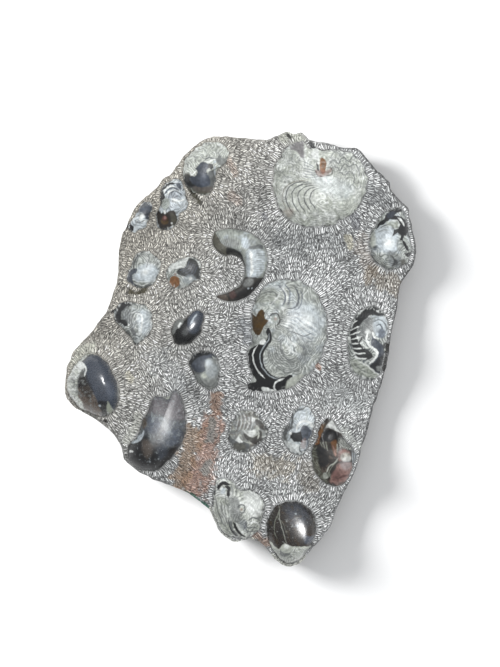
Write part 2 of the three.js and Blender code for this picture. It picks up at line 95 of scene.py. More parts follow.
# rim: a shell's outline where it meets the stone, anticlockwise. peak: where on the slab its dome is highest.
# rise: dome above the rim. mound: stone left standing under it. full: 2 for a ball, more for a flatter top.
# bowls: hollows sunk in the dome, as (middle, half length, half width, degrees, depth). shoulder: 0.5 stands
# upright at the rim, 1 slopes all the way. rough_rim: how far the pick has bruised the shell's edge. nicked:
# how unevenly its outline runs. fringe: length of the chisel marks round it.
USUAL_SHELL = dict(bowls=[], shoulder=0.85, rough_rim=0.8, nicked=1.25)
SHELLS = {
    "corner_dome": dict(
        rim=[22,17, 20,23, 14,28, 4,28, -4,25, -10,19, -16,12, -18,3, -16,-6, -10,-13, -1,-17, 6,-15, 10,-7,
             11,1, 14,6, 20,11],
        peak=(-32, 149), rise=11, mound=4, full=2.1, rough_rim=0.45, fringe=5),
    "red_eye": dict(
        rim=[6,21, -1,19, -7,14, -9,7, -8,0, -11,-6, -13,-13, -11,-20, -5,-23, 1,-21, 6,-16, 7,-9, 12,-6,
             15,0, 13,7, 11,16],
        peak=(-60, 125), rise=7, mound=3, full=2.3, bowls=[((-5, -14), 4, 4, 0, 1.2)], fringe=4),
    "left_edge": dict(
        rim=[8,12, 2,13, -2,8, -5,2, -8,-3, -11,-9, -9,-13, -3,-12, 3,-8, 7,-1, 9,6],
        peak=(-85, 113), rise=6, mound=3, full=2.1, fringe=4),
    "grey_swirl": dict(
        rim=[5,19, -2,19, -8,15, -11,8, -14,1, -14,-5, -9,-10, -2,-12, 5,-10, 11,-4, 14,4, 13,12],
        peak=(-83, 64), rise=7, mound=3, full=2.4, fringe=4),
    "orange_eye": dict(
        rim=[5,11, -4,10, -12,6, -17,-1, -16,-10, -11,-16, -3,-15, 4,-12, 10,-7, 12,2, 10,8],
        peak=(-46, 68), rise=6, mound=2, full=2.4, bowls=[((-11, -10), 4.5, 4, 0, 1.2)], fringe=4),
    "great_top": dict(
        rim=[-18,44, -27,43, -34,37, -40,27, -44,13, -42,-2, -38,-14, -31,-22, -21,-28, -7,-29, 7,-27, 19,-21,
             28,-13, 34,-3, 37,9, 35,19, 30,28, 22,34, 10,36, -4,37, -13,38],
        peak=(72, 134), rise=14, mound=5, full=2.6, bowls=[((-2, 19), 8, 6.5, 20, 4)], rough_rim=0.4,
        fringe=9),
    "right_shoulder": dict(
        rim=[11,34, 4,33, -3,29, -7,22, -13,15, -14,6, -13,-4, -8,-11, -1,-16, 9,-16, 17,-13, 20,-8, 22,-1,
             21,6, 19,15, 17,25, 15,31],
        peak=(125, 86), rise=12, mound=4, shoulder=0.7, full=2.2, rough_rim=0.2, fringe=8),
    "great_centre": dict(
        rim=[4,41, -9,42, -21,39, -30,32, -35,22, -37,11, -36,-1, -37,-12, -40,-21, -38,-33, -36,-42, -40,-50,
             -28,-54, -14,-53, -3,-49, 6,-43, 14,-35, 21,-25, 25,-15, 27,-3, 27,10, 22,22, 15,34],
        peak=(47, 17), rise=16, mound=5, full=2.6, bowls=[((-18, 8), 6.5, 5, 30, 3)], rough_rim=0.15,
        fringe=9),
    "right_edge": dict(
        rim=[2,28, -6,26, -12,19, -17,9, -19,0, -18,-11, -17,-21, -13,-30, -5,-34, 3,-34, 9,-29, 12,-18,
             14,-6, 16,5, 16,15, 10,24],
        peak=(111, 8), rise=10, mound=3, full=2.4, fringe=6),
    "marbled_left": dict(
        rim=[-6,21, -13,19, -18,13, -17,5, -12,-1, -6,-8, 0,-16, 6,-14, 12,-8, 15,0, 15,10, 10,17, 2,20],
        peak=(-91, 20), rise=7, mound=3, full=2.4, fringe=5),
    "teardrop": dict(
        rim=[9,17, 3,16, -1,11, -4,9, -8,10, -13,6, -15,-1, -13,-9, -7,-12, 0,-11, 6,-7, 10,-1, 12,6, 13,13],
        peak=(-44, 16), rise=10, mound=3, shoulder=0.62, full=2, rough_rim=0, nicked=0.8, fringe=6),
    "snail": dict(
        rim=[0,16, -8,14, -14,9, -14,2, -10,-4, -6,-10, -2,-15, 5,-17, 11,-12, 12,-4, 12,5, 8,12],
        peak=(-30, -18), rise=8, mound=3, shoulder=0.6, full=2.2, rough_rim=0.3, fringe=6),
    "west_dome": dict(
        rim=[-10,25, -16,23, -22,18, -28,10, -31,0, -30,-9, -25,-17, -18,-23, -11,-26, -4,-29, 2,-29, 8,-25,
             12,-18, 13,-7, 10,4, 5,14, -2,22],
        peak=(-118, -29), rise=18, mound=3, shoulder=0.7, full=2, rough_rim=0.2, nicked=0.8, fringe=8),
    "south_west_dome": dict(
        rim=[18,46, 10,40, 1,41, -3,35, -6,27, -11,17, -15,6, -20,1, -23,-7, -22,-13, -17,-18, -9,-22, -1,-23,
             6,-20, 14,-12, 21,-2, 26,7, 27,18, 26,29, 23,40],
        peak=(-74, -82), rise=16, mound=4, shoulder=0.7, full=2.1, rough_rim=0.1, nicked=0.8, fringe=9),
    "flat_cut": dict(
        rim=[3,18, -4,17, -10,11, -15,2, -16,-7, -12,-15, -5,-19, 2,-17, 8,-13, 14,-7, 18,0, 14,9, 9,16],
        peak=(5, -71), rise=4, mound=2, shoulder=0.8, full=3, fringe=4),
    "small_hooked": dict(
        rim=[6,22, -1,19, -6,13, -8,5, -14,0, -14,-8, -10,-15, -3,-20, 3,-22, 7,-17, 9,-9, 12,-3, 14,6,
             12,16],
        peak=(50, -70), rise=7, mound=3, full=2.3, fringe=4),
    "hollow_brown": dict(
        rim=[-8,38, -14,39, -19,32, -22,22, -25,10, -25,-1, -20,-10, -13,-16, -6,-18, 0,-16, 6,-9, 10,0, 12,9,
             9,15, 3,22, -1,30],
        peak=(87, -100), rise=11, mound=3, shoulder=0.65, full=2.2, bowls=[((-9, 24), 9, 7, 80, 8)],
        rough_rim=0.3, fringe=5),
    "bottom_swirl": dict(
        rim=[-19,27, -24,26, -27,20, -28,9, -29,0, -25,-9, -19,-18, -11,-23, -3,-24, 5,-22, 11,-16, 13,-8,
             15,3, 12,13, 4,18, -5,18, -12,25],
        peak=(5, -139), rise=12, mound=4, full=2.3, bowls=[((-5, 3), 4.5, 3.5, 0, 1.5)], fringe=7),
    "bottom_dome": dict(
        rim=[-10,34, -20,32, -27,26, -31,16, -31,5, -28,-5, -23,-12, -16,-18, -10,-19, -3,-16, 2,-10, 7,-3,
             10,5, 11,14, 7,25, 0,32],
        peak=(54, -165), rise=16, mound=4, shoulder=0.7, full=2, rough_rim=0.15, nicked=0.8, fringe=9),
}

DARK_SHELLS = ("teardrop", "west_dome", "south_west_dome", "bottom_dome")
for name in SHELLS:
    SHELLS[name] = {**USUAL_SHELL, **SHELLS[name]}

# The crescent is half a whorl, broken open. Along it: (direction from its middle in degrees, inner radius,
# outer radius, height of its crest), from its blunt end at the upper left round to its point.
CRESCENT_MIDDLE = (-7, 70)
CRESCENT_MOUND = 2
CRESCENT_FRINGE = 5
CRESCENT_STATIONS = [
    (131, 19.5, 24, 2), (125, 13.5, 29.5, 5), (116, 11.3, 33.5, 7.5), (100, 11, 33.5, 9),
    (80, 11, 32.7, 9.5), (58, 10.8, 33.2, 10), (36, 10.8, 33, 10.5), (13, 11, 31, 10.5),
    (-11, 11.6, 28.4, 10), (-36, 13, 27, 9), (-61, 15.8, 28, 7.5), (-85, 18.8, 29.2, 6),
    (-104, 23, 29.2, 4), (-118, 27, 28.8, 2),
]
# Its cross-section: the share of the way from its inner to its outer side, and the share of the crest.
CRESCENT_SECTION = [0,0, 0.03,0.42, 0.1,0.76, 0.2,0.95, 0.32,1, 0.5,0.93, 0.68,0.78, 0.84,0.56, 0.95,0.3, 1,0]

# ---------------- colours


def linear(code):
    """An sRGB hex colour as the linear numbers that shaders and attributes take."""
    parts = [int(code[i:i + 2], 16) / 255 for i in (1, 3, 5)]
    return np.array([c / 12.92 if c <= 0.04045 else ((c + 0.055) / 1.055) ** 2.4 for c in parts])


# What the shells' calcite, the stone and its stains look like where they are clean, and the tones of the
# painted highlights, sheen and shade.
TONES = {tone: linear(code) for tone, code in {
    "cream": "#b4b8ae", "chalk": "#dcdfdc", "ice": "#b6bfc5", "mist": "#949b9e", "ash": "#7f8280",
    "smoke": "#5a5d5e", "slate": "#3b414b", "steel": "#555c68", "jet": "#161719", "coffee": "#2b2622",
    "umber": "#463210", "orange": "#7f5530", "rose": "#8d6d66", "olive": "#504e43", "sage": "#92978a",
    "oxblood": "#543633", "fog": "#979c96", "bark": "#5f554d", "mauve": "#6b676a",
}.items()}

# ---------------- numbers

DRIFT_CELLS = 64  # the drift repeats after this many lumps
CURVE_CUTS = 12  # places worked out from one given point of a curve to the next


def eased(x, low, high):
    """0 up to low, 1 from high, and smooth between."""
    t = np.clip((x - low) / (high - low), 0, 1)
    return t * t * (3 - 2 * t)


def blended(grid, i, j, next_i, next_j, s, t):
    """A grid's values, joined between four neighbouring points of it."""
    near = grid[i, j] * (1 - s) + grid[next_i, j] * s
    far = grid[i, next_j] * (1 - s) + grid[next_i, next_j] * s
    return near * (1 - t) + far * t


def drift(x, y, size, seed):
    """Smooth unevenness from -1 to 1 whose lumps are about size across."""
    table = np.random.default_rng(seed).uniform(-1, 1, (DRIFT_CELLS, DRIFT_CELLS))
    u = np.asarray(x) / size
    v = np.asarray(y) / size
    i = np.floor(u).astype(int)
    j = np.floor(v).astype(int)
    s = eased(u - i, 0, 1)
    t = eased(v - j, 0, 1)
    i, j, next_i, next_j = (k % DRIFT_CELLS for k in (i, j, i + 1, j + 1))
    return blended(table, i, j, next_i, next_j, s, t)


def placed(points, middle=(0, 0)):
    """Places on the slab, from numbers measured from a middle."""
    return np.array(points, float).reshape(-1, 2) + middle


def flowing(points, step, closed=False):
    """A smooth line through given points, as points about step apart."""
    p = placed(points)
    if len(p) == 2 and not closed:
        count = max(2, int(np.linalg.norm(p[1] - p[0]) / step) + 1)
        return p[0] + np.linspace(0, 1, count)[:, None] * (p[1] - p[0])
    ends = (p[-1], p[0], p[1]) if closed else (2 * p[0] - p[1], p[-1], 2 * p[-1] - p[-2])
    q = np.vstack([ends[0], p, ends[1], ends[2]]) if closed else np.vstack([ends[0], p, ends[2]])
    t = np.linspace(0, 1, CURVE_CUTS, endpoint=False)[:, None]
    fine = []
    for a, b, c, d in zip(q[:-3], q[1:-2], q[2:-1], q[3:]):
        fine.append(0.5 * (2 * b + (c - a) * t + (2 * a - 5 * b + 4 * c - d) * t ** 2
                           + (3 * b - a - 3 * c + d) * t ** 3))
    fine = np.vstack(fine + [p[:1] if closed else p[-1:]])
    run = np.concatenate([[0], np.cumsum(np.linalg.norm(np.diff(fine, axis=0), axis=1))])
    count = max(4, int(round(run[-1] / step)))
    at = np.linspace(0, run[-1], count, endpoint=False) if closed else np.linspace(0, run[-1], count + 1)
    return np.stack([np.interp(at, run, fine[:, 0]), np.interp(at, run, fine[:, 1])], 1)


def off_line(x, y, line):
    """How far each place lies from a line, and how far along it the nearest point is, from 0 to 1."""
    best = np.full(x.shape, np.inf)
    along = np.zeros(x.shape)
    last = len(line) - 1
    for k in range(last):
        (ax, ay), (bx, by) = line[k], line[k + 1]
        ex, ey = bx - ax, by - ay
        t = np.clip(((x - ax) * ex + (y - ay) * ey) / max(ex * ex + ey * ey, 1e-9), 0, 1)
        far = (x - ax - t * ex) ** 2 + (y - ay - t * ey) ** 2
        closer = far < best
        best = np.where(closer, far, best)
        along = np.where(closer, (k + t) / last, along)
    return np.sqrt(best), along


def within(x, y, loop):
    """Whether each place lies inside a closed line."""
    found = np.zeros(x.shape, bool)
    for (ax, ay), (bx, by) in zip(loop, np.roll(loop, -1, axis=0)):
        if ay == by:
            continue
        crosses = ((ay > y) != (by > y)) & (x < ax + (y - ay) / (by - ay) * (bx - ax))
        found ^= crosses
    return found


def outside_of(x, y, loop):
    """How far each place lies outside a closed line, negative inside it."""
    away, _ = off_line(x, y, np.vstack([loop, loop[:1]]))
    return np.where(within(x, y, loop), -away, away)


# ---------------- slab form


def swell(x, y):
    """The slow rise and fall of the stone's face."""
    return (1.6 * np.sin(x / 38 + 0.6) + 1.3 * np.sin(y / 45 - 0.4) + 1.1 * np.sin((x + y) / 29 + 1.9)
            + 0.8 * np.sin((x - 1.3 * y) / 21 + 0.7))


def around_crescent(direction, radius):
    """A place by its direction and distance from the crescent's middle."""
    turn = np.radians(direction)
    return (CRESCENT_MIDDLE[0] + radius * np.cos(turn), CRESCENT_MIDDLE[1] + radius * np.sin(turn))


def shell_outline(shell, step):
    """A shell's rim as it really runs, nicked where the stone was picked away from it."""
    line = flowing(placed(shell["rim"], shell["peak"]), step, closed=True)
    x, y = line.T
    nicks = np.stack([0.8 * drift(x, y, 5, 14) + 0.5 * drift(x, y, 2.2, 15),
                      0.8 * drift(x, y, 5, 16) + 0.5 * drift(x, y, 2.2, 17)], 1)
    return line + shell["nicked"] * nicks


# Where each shell stands in the stone: its outline, the height of its rim and the length of its fringe.
SEATS = {}
for name, shell in SHELLS.items():
    middle = placed(shell["rim"], shell["peak"]).mean(0)
    SEATS[name] = dict(outline=shell_outline(shell, SEAT_STEP),
                       rim=FACE_HEIGHT + swell(*middle) + shell["mound"], fringe=shell["fringe"])
crescent_inner = [around_crescent(d, inner) for d, inner, _, _ in CRESCENT_STATIONS]
crescent_outer = [around_crescent(d, outer) for d, _, outer, _ in CRESCENT_STATIONS]
SEATS["whorl_crescent"] = dict(
    outline=np.vstack([flowing(crescent_inner, SEAT_STEP), flowing(crescent_outer[::-1], SEAT_STEP)]),
    rim=FACE_HEIGHT + swell(*CRESCENT_MIDDLE) + CRESCENT_MOUND, fringe=CRESCENT_FRINGE)

edge_line = flowing(EDGE, EDGE_STEP, closed=True)
edge_turn = np.arctan2(edge_line[:, 1] - SLAB_MIDDLE[1], edge_line[:, 0] - SLAB_MIDDLE[0])
edge_reach = np.hypot(edge_line[:, 1] - SLAB_MIDDLE[1], edge_line[:, 0] - SLAB_MIDDLE[0])
by_turn = np.argsort(edge_turn)


def share_out(x, y):
    """How far out from the slab's middle a place lies, with 1 at its edge."""
    turn = np.arctan2(y - SLAB_MIDDLE[1], x - SLAB_MIDDLE[0])
    reach = np.interp(turn, edge_turn[by_turn], edge_reach[by_turn], period=2 * math.pi)
    return np.hypot(x - SLAB_MIDDLE[0], y - SLAB_MIDDLE[1]) / reach


# Fields over the slab, worked out once on a grid of this spacing and read between its points.
FIELD_STEP = 1.5
FIELD_X = np.arange(-HALF_WIDE, HALF_WIDE + 1, FIELD_STEP)
FIELD_Y = np.arange(-HALF_TALL, HALF_TALL + 1, FIELD_STEP)
FREE_FLOW = 0.10  # how strongly the chisel marks wander by themselves, against 1 for a shell's pull
grid_x, grid_y = np.meshgrid(FIELD_X, FIELD_Y, indexing="ij")


def read(field, x, y):
    """A field's value between its grid points."""
    u = np.clip((np.asarray(x) - FIELD_X[0]) / FIELD_STEP, 0, len(FIELD_X) - 1.001)
    v = np.clip((np.asarray(y) - FIELD_Y[0]) / FIELD_STEP, 0, len(FIELD_Y) - 1.001)
    i, j = u.astype(int), v.astype(int)
    return blended(field, i, j, i + 1, j + 1, u - i, v - j)


def slab_fields():
    """The face's height, the distance to the nearest shell, and the chisel marks' direction as the cosine and
    sine of twice its angle."""
    nearest = np.zeros(grid_x.shape)
    weights = np.zeros(grid_x.shape)
    heights = np.zeros(grid_x.shape)
    gap = np.full(grid_x.shape, np.inf)
    cosine = np.zeros(grid_x.shape)
    sine = np.zeros(grid_x.shape)
    for seat in SEATS.values():
        away = outside_of(grid_x, grid_y, seat["outline"][::2])
        weight = np.exp(-(np.maximum(away, 0) / MOUND_REACH) ** 2)
        nearest = np.maximum(nearest, weight)
        weights += weight
        heights += weight * seat["rim"]
        gap = np.minimum(gap, away)
        dx, dy = np.gradient(away, FIELD_STEP)
        lead = np.exp(-np.maximum(away, 0) / (0.9 * seat["fringe"] + 2))
        length = np.maximum(dx * dx + dy * dy, 1e-6)
        cosine += lead * (dx * dx - dy * dy) / length
        sine += lead * 2 * dx * dy / length
    free = math.pi * (drift(grid_x, grid_y, 26, 11) + 0.35 * drift(grid_x, grid_y, 9, 12))
    cosine += FREE_FLOW * np.cos(2 * free)
    sine += FREE_FLOW * np.sin(2 * free)
    open_face = FACE_HEIGHT + swell(grid_x, grid_y)
    mounded = heights / np.maximum(weights, 1e-9)
    face = open_face * (1 - nearest) + mounded * nearest
    return face, gap, cosine, sine


FACE_FIELD, GAP_FIELD, COSINE_FIELD, SINE_FIELD = slab_fields()


def face_height(x, y):
    """The worked face's height above the back, rolled down towards the slab's edge."""
    past = np.clip((share_out(x, y) - ROLL_FROM) / (1 - ROLL_FROM), 0, 1)
    return read(FACE_FIELD, x, y) - EDGE_ROLL * (1 - np.sqrt(1 - (ROLL_TURN * past) ** 2))


# ---------------- painting

WOBBLE = 0.35  # how far the edges of the markings stray from their curves
LOOP_STEP, STROKE_STEP = 0.8, 0.9  # spacing of the points round a filled marking, and along a drawn one
DARK_GRAIN = (0.08, 0.06)  # how unevenly a dark or a pale shell is toned, finely and coarsely
PALE_GRAIN = (0.28, 0.17)


def colour_over(colours, tone, cover):
    """Lays a tone over colours, where cover is 1 for all of it."""
    colours += (tone - colours) * np.clip(cover, 0, 1)[:, None]


class Marking:
    """Lays calcite bands, chambers and suture lines on one shell's points, from curves in millimetres. Some
    of the markings are painted highlights, sheen and shade.
    """

    def __init__(self, x, y, middle, base, seed):
        self.x = x + WOBBLE * drift(x, y, 2.6, seed) + 0.5 * WOBBLE * drift(x, y, 1.1, seed + 1)
        self.y = y + WOBBLE * drift(x, y, 2.6, seed + 2) + 0.5 * WOBBLE * drift(x, y, 1.1, seed + 3)
        self.middle = middle
        self.seed = seed
        self.colours = np.tile(TONES[base], (len(x), 1))

    def near(self, line, margin):
        """Which points could be touched by a marking this wide, so that no others are worked out."""
        low, high = line.min(0) - margin, line.max(0) + margin
        return (self.x > low[0]) & (self.x < high[0]) & (self.y > low[1]) & (self.y < high[1])

    def curve(self, points, step, closed=False):
        """A smooth line through places measured from the shell's middle."""
        return flowing(placed(points, self.middle), step, closed)

    def off(self, place):
        """How far the points lie to the right of a place and above it."""
        east, north = placed(place, self.middle)[0]
        return self.x - east, self.y - north

    def lay(self, tone, where, cover):
        """Lays a tone on those of the shell's points."""
        part = self.colours[where]
        colour_over(part, TONES[tone], cover)
        self.colours[where] = part

    def cloud(self, tone, size, low, high, strength, salt=0):
        """Soft patches of another tone wherever the drift runs high."""
        level = drift(self.x, self.y, size, self.seed + 20 + salt)
        level = level + 0.5 * drift(self.x, self.y, size / 2.3, self.seed + 21 + salt)
        colour_over(self.colours, TONES[tone], strength * eased(level, low, high))

    def specks(self, tone, size, share, strength):
        """Scattered grains of another mineral."""
        level = drift(self.x, self.y, size, self.seed + 60)
        colour_over(self.colours, TONES[tone], strength * eased(level, 1 - share, 1 - 0.5 * share))

    def patch(self, tone, points, soft=0.4, strength=1.0, sharp=False):
        """A filled shape, smooth or with straight broken sides."""
        loop = placed(points, self.middle) if sharp else self.curve(points, LOOP_STEP, closed=True)
        where = self.near(loop, 2 * soft + 0.5)
        if where.any():
            away = outside_of(self.x[where], self.y[where], loop)
            self.lay(tone, where, strength * (1 - eased(away, -soft, soft)))

    def line(self, tone, width, points, strength=1.0):
        """A band or line through given points."""
        self.stroke(tone, width, self.curve(points, STROKE_STEP), strength)

    def stroke(self, tone, width, path, strength):
        """A band or line that thins towards its ends."""
        where = self.near(path, width + 0.6)
        if where.any():
            away, along = off_line(self.x[where], self.y[where], path)
            end = np.minimum(along, 1 - along)
            half = 0.5 * width * (0.35 + 0.65 * eased(end, 0, 0.15))
            self.lay(tone, where, strength * (1 - eased(away, half - 0.25, half + 0.25)))

    def spot(self, tone, middle, radius, soft=0.6, strength=1.0):
        """A round spot."""
        away = np.hypot(*self.off(middle))
        where = away < radius + soft
        self.lay(tone, where, strength * (1 - eased(away[where], radius - soft, radius + soft)))

    def rows(self, tone, width, count, first, last, strength):
        """Evenly spaced lines that pass from one curve to another."""
        span = np.linspace(0, 1, 24)
        a, b = (np.stack([np.interp(span, np.linspace(0, 1, len(curve)), side) for side in curve.T], 1)
                for curve in (self.curve(first, 1.0), self.curve(last, 1.0)))
        for share in np.linspace(0, 1, count):
            self.stroke(tone, width, flowing(a + share * (b - a), STROKE_STEP), strength)

    def waves(self, tone, spacing, width, points, middle, strength, lobes=5, swing=0.5):
        """Wavy rings about a point inside a shape: the fluted chamber walls that polishing cuts through."""
        loop = self.curve(points, LOOP_STEP, closed=True)
        where = self.near(loop, 1)
        if not where.any():
            return
        x, y = self.x[where], self.y[where]
        dx, dy = (side[where] for side in self.off(middle))
        twist = np.hypot(dx, dy) / spacing * 0.9
        out = np.hypot(dx, dy) + swing * spacing * np.sin(lobes * np.arctan2(dy, dx) + twist)
        out = out + 0.8 * spacing * drift(x, y, 3.2 * spacing, self.seed + 40)
        ring = np.abs(out / spacing % 1 - 0.5)
        line = 1 - eased(ring, 0.5 * width / spacing - 0.08, 0.5 * width / spacing + 0.12)
        inside = 1 - eased(outside_of(x, y, loop), -1.2, 0.2)
        self.lay(tone, where, strength * line * inside)

    def sutures(self, dark, light, spacing, middle, arms, strength):
        """Wavy bands over the whole shell, in spiral arms about its middle: the folded edges of the chamber
        walls, dark on one side and milky on the other."""
        x, y = self.x, self.y
        dx, dy = self.off(middle)
        level = np.hypot(dx, dy) + arms * spacing * np.arctan2(dy, dx) / (2 * math.pi)
        for size, fold in ((11, 2.6), (5, 1.3), (2.4, 0.35)):
            level = level + fold * spacing * drift(x, y, size, self.seed + int(size) + 80)
        wave = np.sin(2 * math.pi * level / spacing)
        clear = eased(drift(x, y, 7, self.seed + 95), -0.8, 0.4)
        colour_over(self.colours, TONES[dark], strength * (0.35 + 0.65 * clear) * eased(wave, 0.15, 0.95))
        colour_over(self.colours, TONES[light], strength * (1.1 - 0.7 * clear) * eased(-wave, 0.2, 0.95))


# The south-west dome below its broken line.
DARK_FOOT = [-29.5,-10, -22.5,3.5, -12.5,3.5, -7,8, -2,1, 3,2.5, 8.5,-4, 19.5,-1.5, 13.5,-15.5, -0.5,-28,
             -14,-28, -26,-20.5]

# Each shell's markings: the tone it starts from, and what is laid on it in turn. Each of these is one of
# Marking's ways to lay a tone, with the tone, and then the rest that it takes, in the same order.
MARKINGS = {}

MARKINGS["corner_dome"] = "cream", [
    ("cloud fog", 3, 0, 0.8, 0.6),
    ("cloud smoke", 1.6, 0.35, 0.9, 0.5, 9),
    ("sutures ash chalk", 2.6, (-1, 22), 3, 0.85),
    ("patch olive", [-16.5,-0.5, -14,2, -11.5,-0.5, -10.5,-7, -6,-11.5, 1.5,-13.5, 8.5,-11.5, 8.5,-14,
     0.5,-16.5, -8,-14, -14,-10.5, -16.5,-5.5], 0.8, 0.9),
    ("patch smoke", [3.5,-0.5, 6,3, 9.5,4, 12,-2, 11,-10.5, 7,-13.5, 0,-14, -6,-13.5, -10.5,-10, -6,-8,
     1.5,-9], 1, 0.95),
    ("patch bark", [-8.5,-9, 0.5,-10.5, 8.5,-10, 9.5,-13.5, 0,-15, -8,-12.5], 1, 0.6),
    ("patch jet", [-17,-4, -15.5,0.5, -11.5,-0.5, -8,-4, -5.5,-9, -9.5,-10.5, -14.5,-9], 1.2, 0.97),
    ("patch slate", [-3.5,8.5, 0,11, 4,9.5, 6,6.5, 3.5,4, 4,0.5, 6,-4, 6,-8, 1.5,-10.5, -5.5,-10, -9.5,-7,
     -11.5,-4, -10.5,-1, -6,-1, -4.5,2, -6,5], 0.6),
    # Painted sheen: the dome's blue-grey reflection.
    ("patch steel", [0,1.5, 4,-2, 5,-8, 0,-10, -2.5,-4.5], 2, 0.6),
    ("patch jet", [5,9.5, 8.5,9, 9,6, 7,4, 4,6.5], 0.3, 0.95, True),
    ("patch ash", [10,14, 13,14.5, 14.5,18, 16.5,15, 19,14.5, 20.5,16.5, 22,13.5, 20.5,11, 17,8, 13,8.5,
     11,11], 0.4, 0.95, True),
    ("line smoke", 1.4, [1.5,13, 5,14.5, 10,14], 0.9),
    # Painted highlight on the dome.
    ("spot ice", (10, 11), 1.2, 0.8, 0.8),
    ("line chalk", 0.9, [6,11, 8.5,13.5, 11,12.5], 0.8),
    ("line chalk", 1.2, [-11,3, -9.5,0, -7,1.5, -5.5,3.5]),
    ("line ice", 1.4, [10,7.5, 10,2, 11,-2], 0.7),
    ("line ice", 1.2, [13,7.5, 16,6.5, 19,8], 0.6),
]
MARKINGS["red_eye"] = "ice", [
    ("cloud ash", 2.6, 0, 0.8, 0.6),
    ("sutures smoke chalk", 2.8, (6.5, -0.5), 3, 0.75),
    ("patch sage", [-8,3, -2,4, -0.5,-2, -4,-5.5, -8,-3], 1, 0.6),
    ("line jet", 1.9, [-7.5,0.5, -8,4.5, -8,10.5, -5,14, -1.5,16.5, 4,17]),
    ("patch jet", [-8,10, -6.5,10.5, -5.5,7.5, -4.5,4.5, -6.5,3, -8,4.5]),
    ("patch slate", [4.5,17.5, 8,17, 9,12.5, 6.5,13.5], 0.5, 0.9),
    ("line chalk", 1.3, [-5.5,9, -4,12.5, 0.5,14.5, 4.5,14]),
    ("line slate", 1.4, [-5,7.5, -2,11.5, 2,13.5, 7,11.5], 0.9),
    ("line chalk", 1.2, [-3,6.5, -0.5,10, 4,11, 8,9]),
    ("line slate", 1.2, [-0.5,8.5, 4.5,10.5, 10,6.5], 0.85),
    ("patch steel", [-2,8, 4.5,9, 8,4.5, 3,4, -2,4.5], 1, 0.5),
    ("line ash", 1, [0.5,2, 5.5,0.5, 9,-4], 0.8),
    ("line chalk", 1.4, [1,3.5, 7,2, 12.5,4], 0.8),
    ("patch coffee", [-12,-8, -10,-6, -7.5,-8.5, -5,-5.5, -3,-8, -0.5,-6.5, 3,-6.5, 5.5,-11.5, 7,-17, 4,-20,
     0.5,-20, -4,-23, -9,-21.5, -11.5,-15], 0.5),
    ("patch olive", [0.5,-8, 4.5,-11.5, 6.5,-17, 4,-19.5, 0.5,-17.5], 1, 0.7),
    ("spot umber", (-5, -15), 3.4, 0.6, 0.9),
    ("spot oxblood", (-5, -13), 2.3),
    ("spot rose", (-4.5, -12.5), 1.3, 0.5),
    ("patch chalk", [-6,-6.5, -4,-6, -4,-9, -5.5,-9], 0.3),
    ("spot chalk", (1, -17), 1, 0.4, 0.8),
]
MARKINGS["left_edge"] = "ice", [
    ("cloud ash", 2.4, 0, 0.7, 0.6),
    ("sutures smoke chalk", 2.8, (-1.5, -0.5), 3, 0.75),
    ("patch slate", [-4,6.5, -1.5,10.5, 4,13.5, 9,11.5, 10,5.5, 8,-0.5, 4.5,-1.5, 2,3, -2,4.5], 0.6, 0.95),
    ("patch smoke", [-3,10, 1.5,13.5, 7.5,12.5, 4,9, -1.5,8], 1, 0.7),
    # Painted highlight: the white spot at the top of the dome.
    ("spot chalk", (0.5, 0.5), 2, 1.2),
    ("line smoke", 1, [-4,-4, -0.5,-4.5, 3,-2.5], 0.8),
    ("line ash", 1, [-6.5,-0.5, -3,1, 0.5,3], 0.8),
    ("patch jet", [-12.5,-3, -10,-2, -9,-5.5, -6.5,-8.5, -7.5,-12.5, -11.5,-12.5, -12.5,-7.5]),
]
MARKINGS["grey_swirl"] = "fog", [
    ("cloud chalk", 4, -0.1, 0.7, 0.6),
    ("cloud smoke", 1.8, 0.3, 0.9, 0.4, 9),
    ("sutures smoke chalk", 3, (2.5, 2), 3, 0.75),
    ("patch ice", [-5,5.5, 3.5,9, 12,5.5, 12,-3, 5.5,-6.5, -4,-5], 2, 0.7),
    ("patch smoke", [-11,-5.5, -6,-9, 1,-10, 6,-6.5, 5.5,-10, -0.5,-12.5, -6.5,-12, -12,-9], 0.8, 0.8),
    ("patch slate", [-15.5,-4, -14.5,0.5, -11,4, -6,5, -6,2, -9.5,-0.5, -9.5,-4, -8.5,-7.5, -5,-10, -11,-10,
     -14.5,-7.5], 0.5, 0.95),
    ("patch ice", [-9.5,-1.5, -6,1, -2.5,-2, -4,-6.5, -7.5,-5.5], 0.8, 0.7),
    ("line jet", 1.4, [-7.5,3, -8.5,9, -6.5,14, -3.5,18, 1,19.5], 0.85),
    ("line smoke", 1, [-6,5.5, -6,11.5, -3.5,16, 1,17.5], 0.8),
    ("line smoke", 1, [2.5,5.5, 3.5,10.5, 4.5,15, 2.5,18], 0.6),
    ("rows ash", 0.9, 4, [7,17.5, 9.5,12.5, 8,7], [15,14, 15,9, 12,4], 0.6),
    # Painted highlight on the dome.
    ("spot chalk", (1, 2), 2.2, 2.6, 0.8),
]
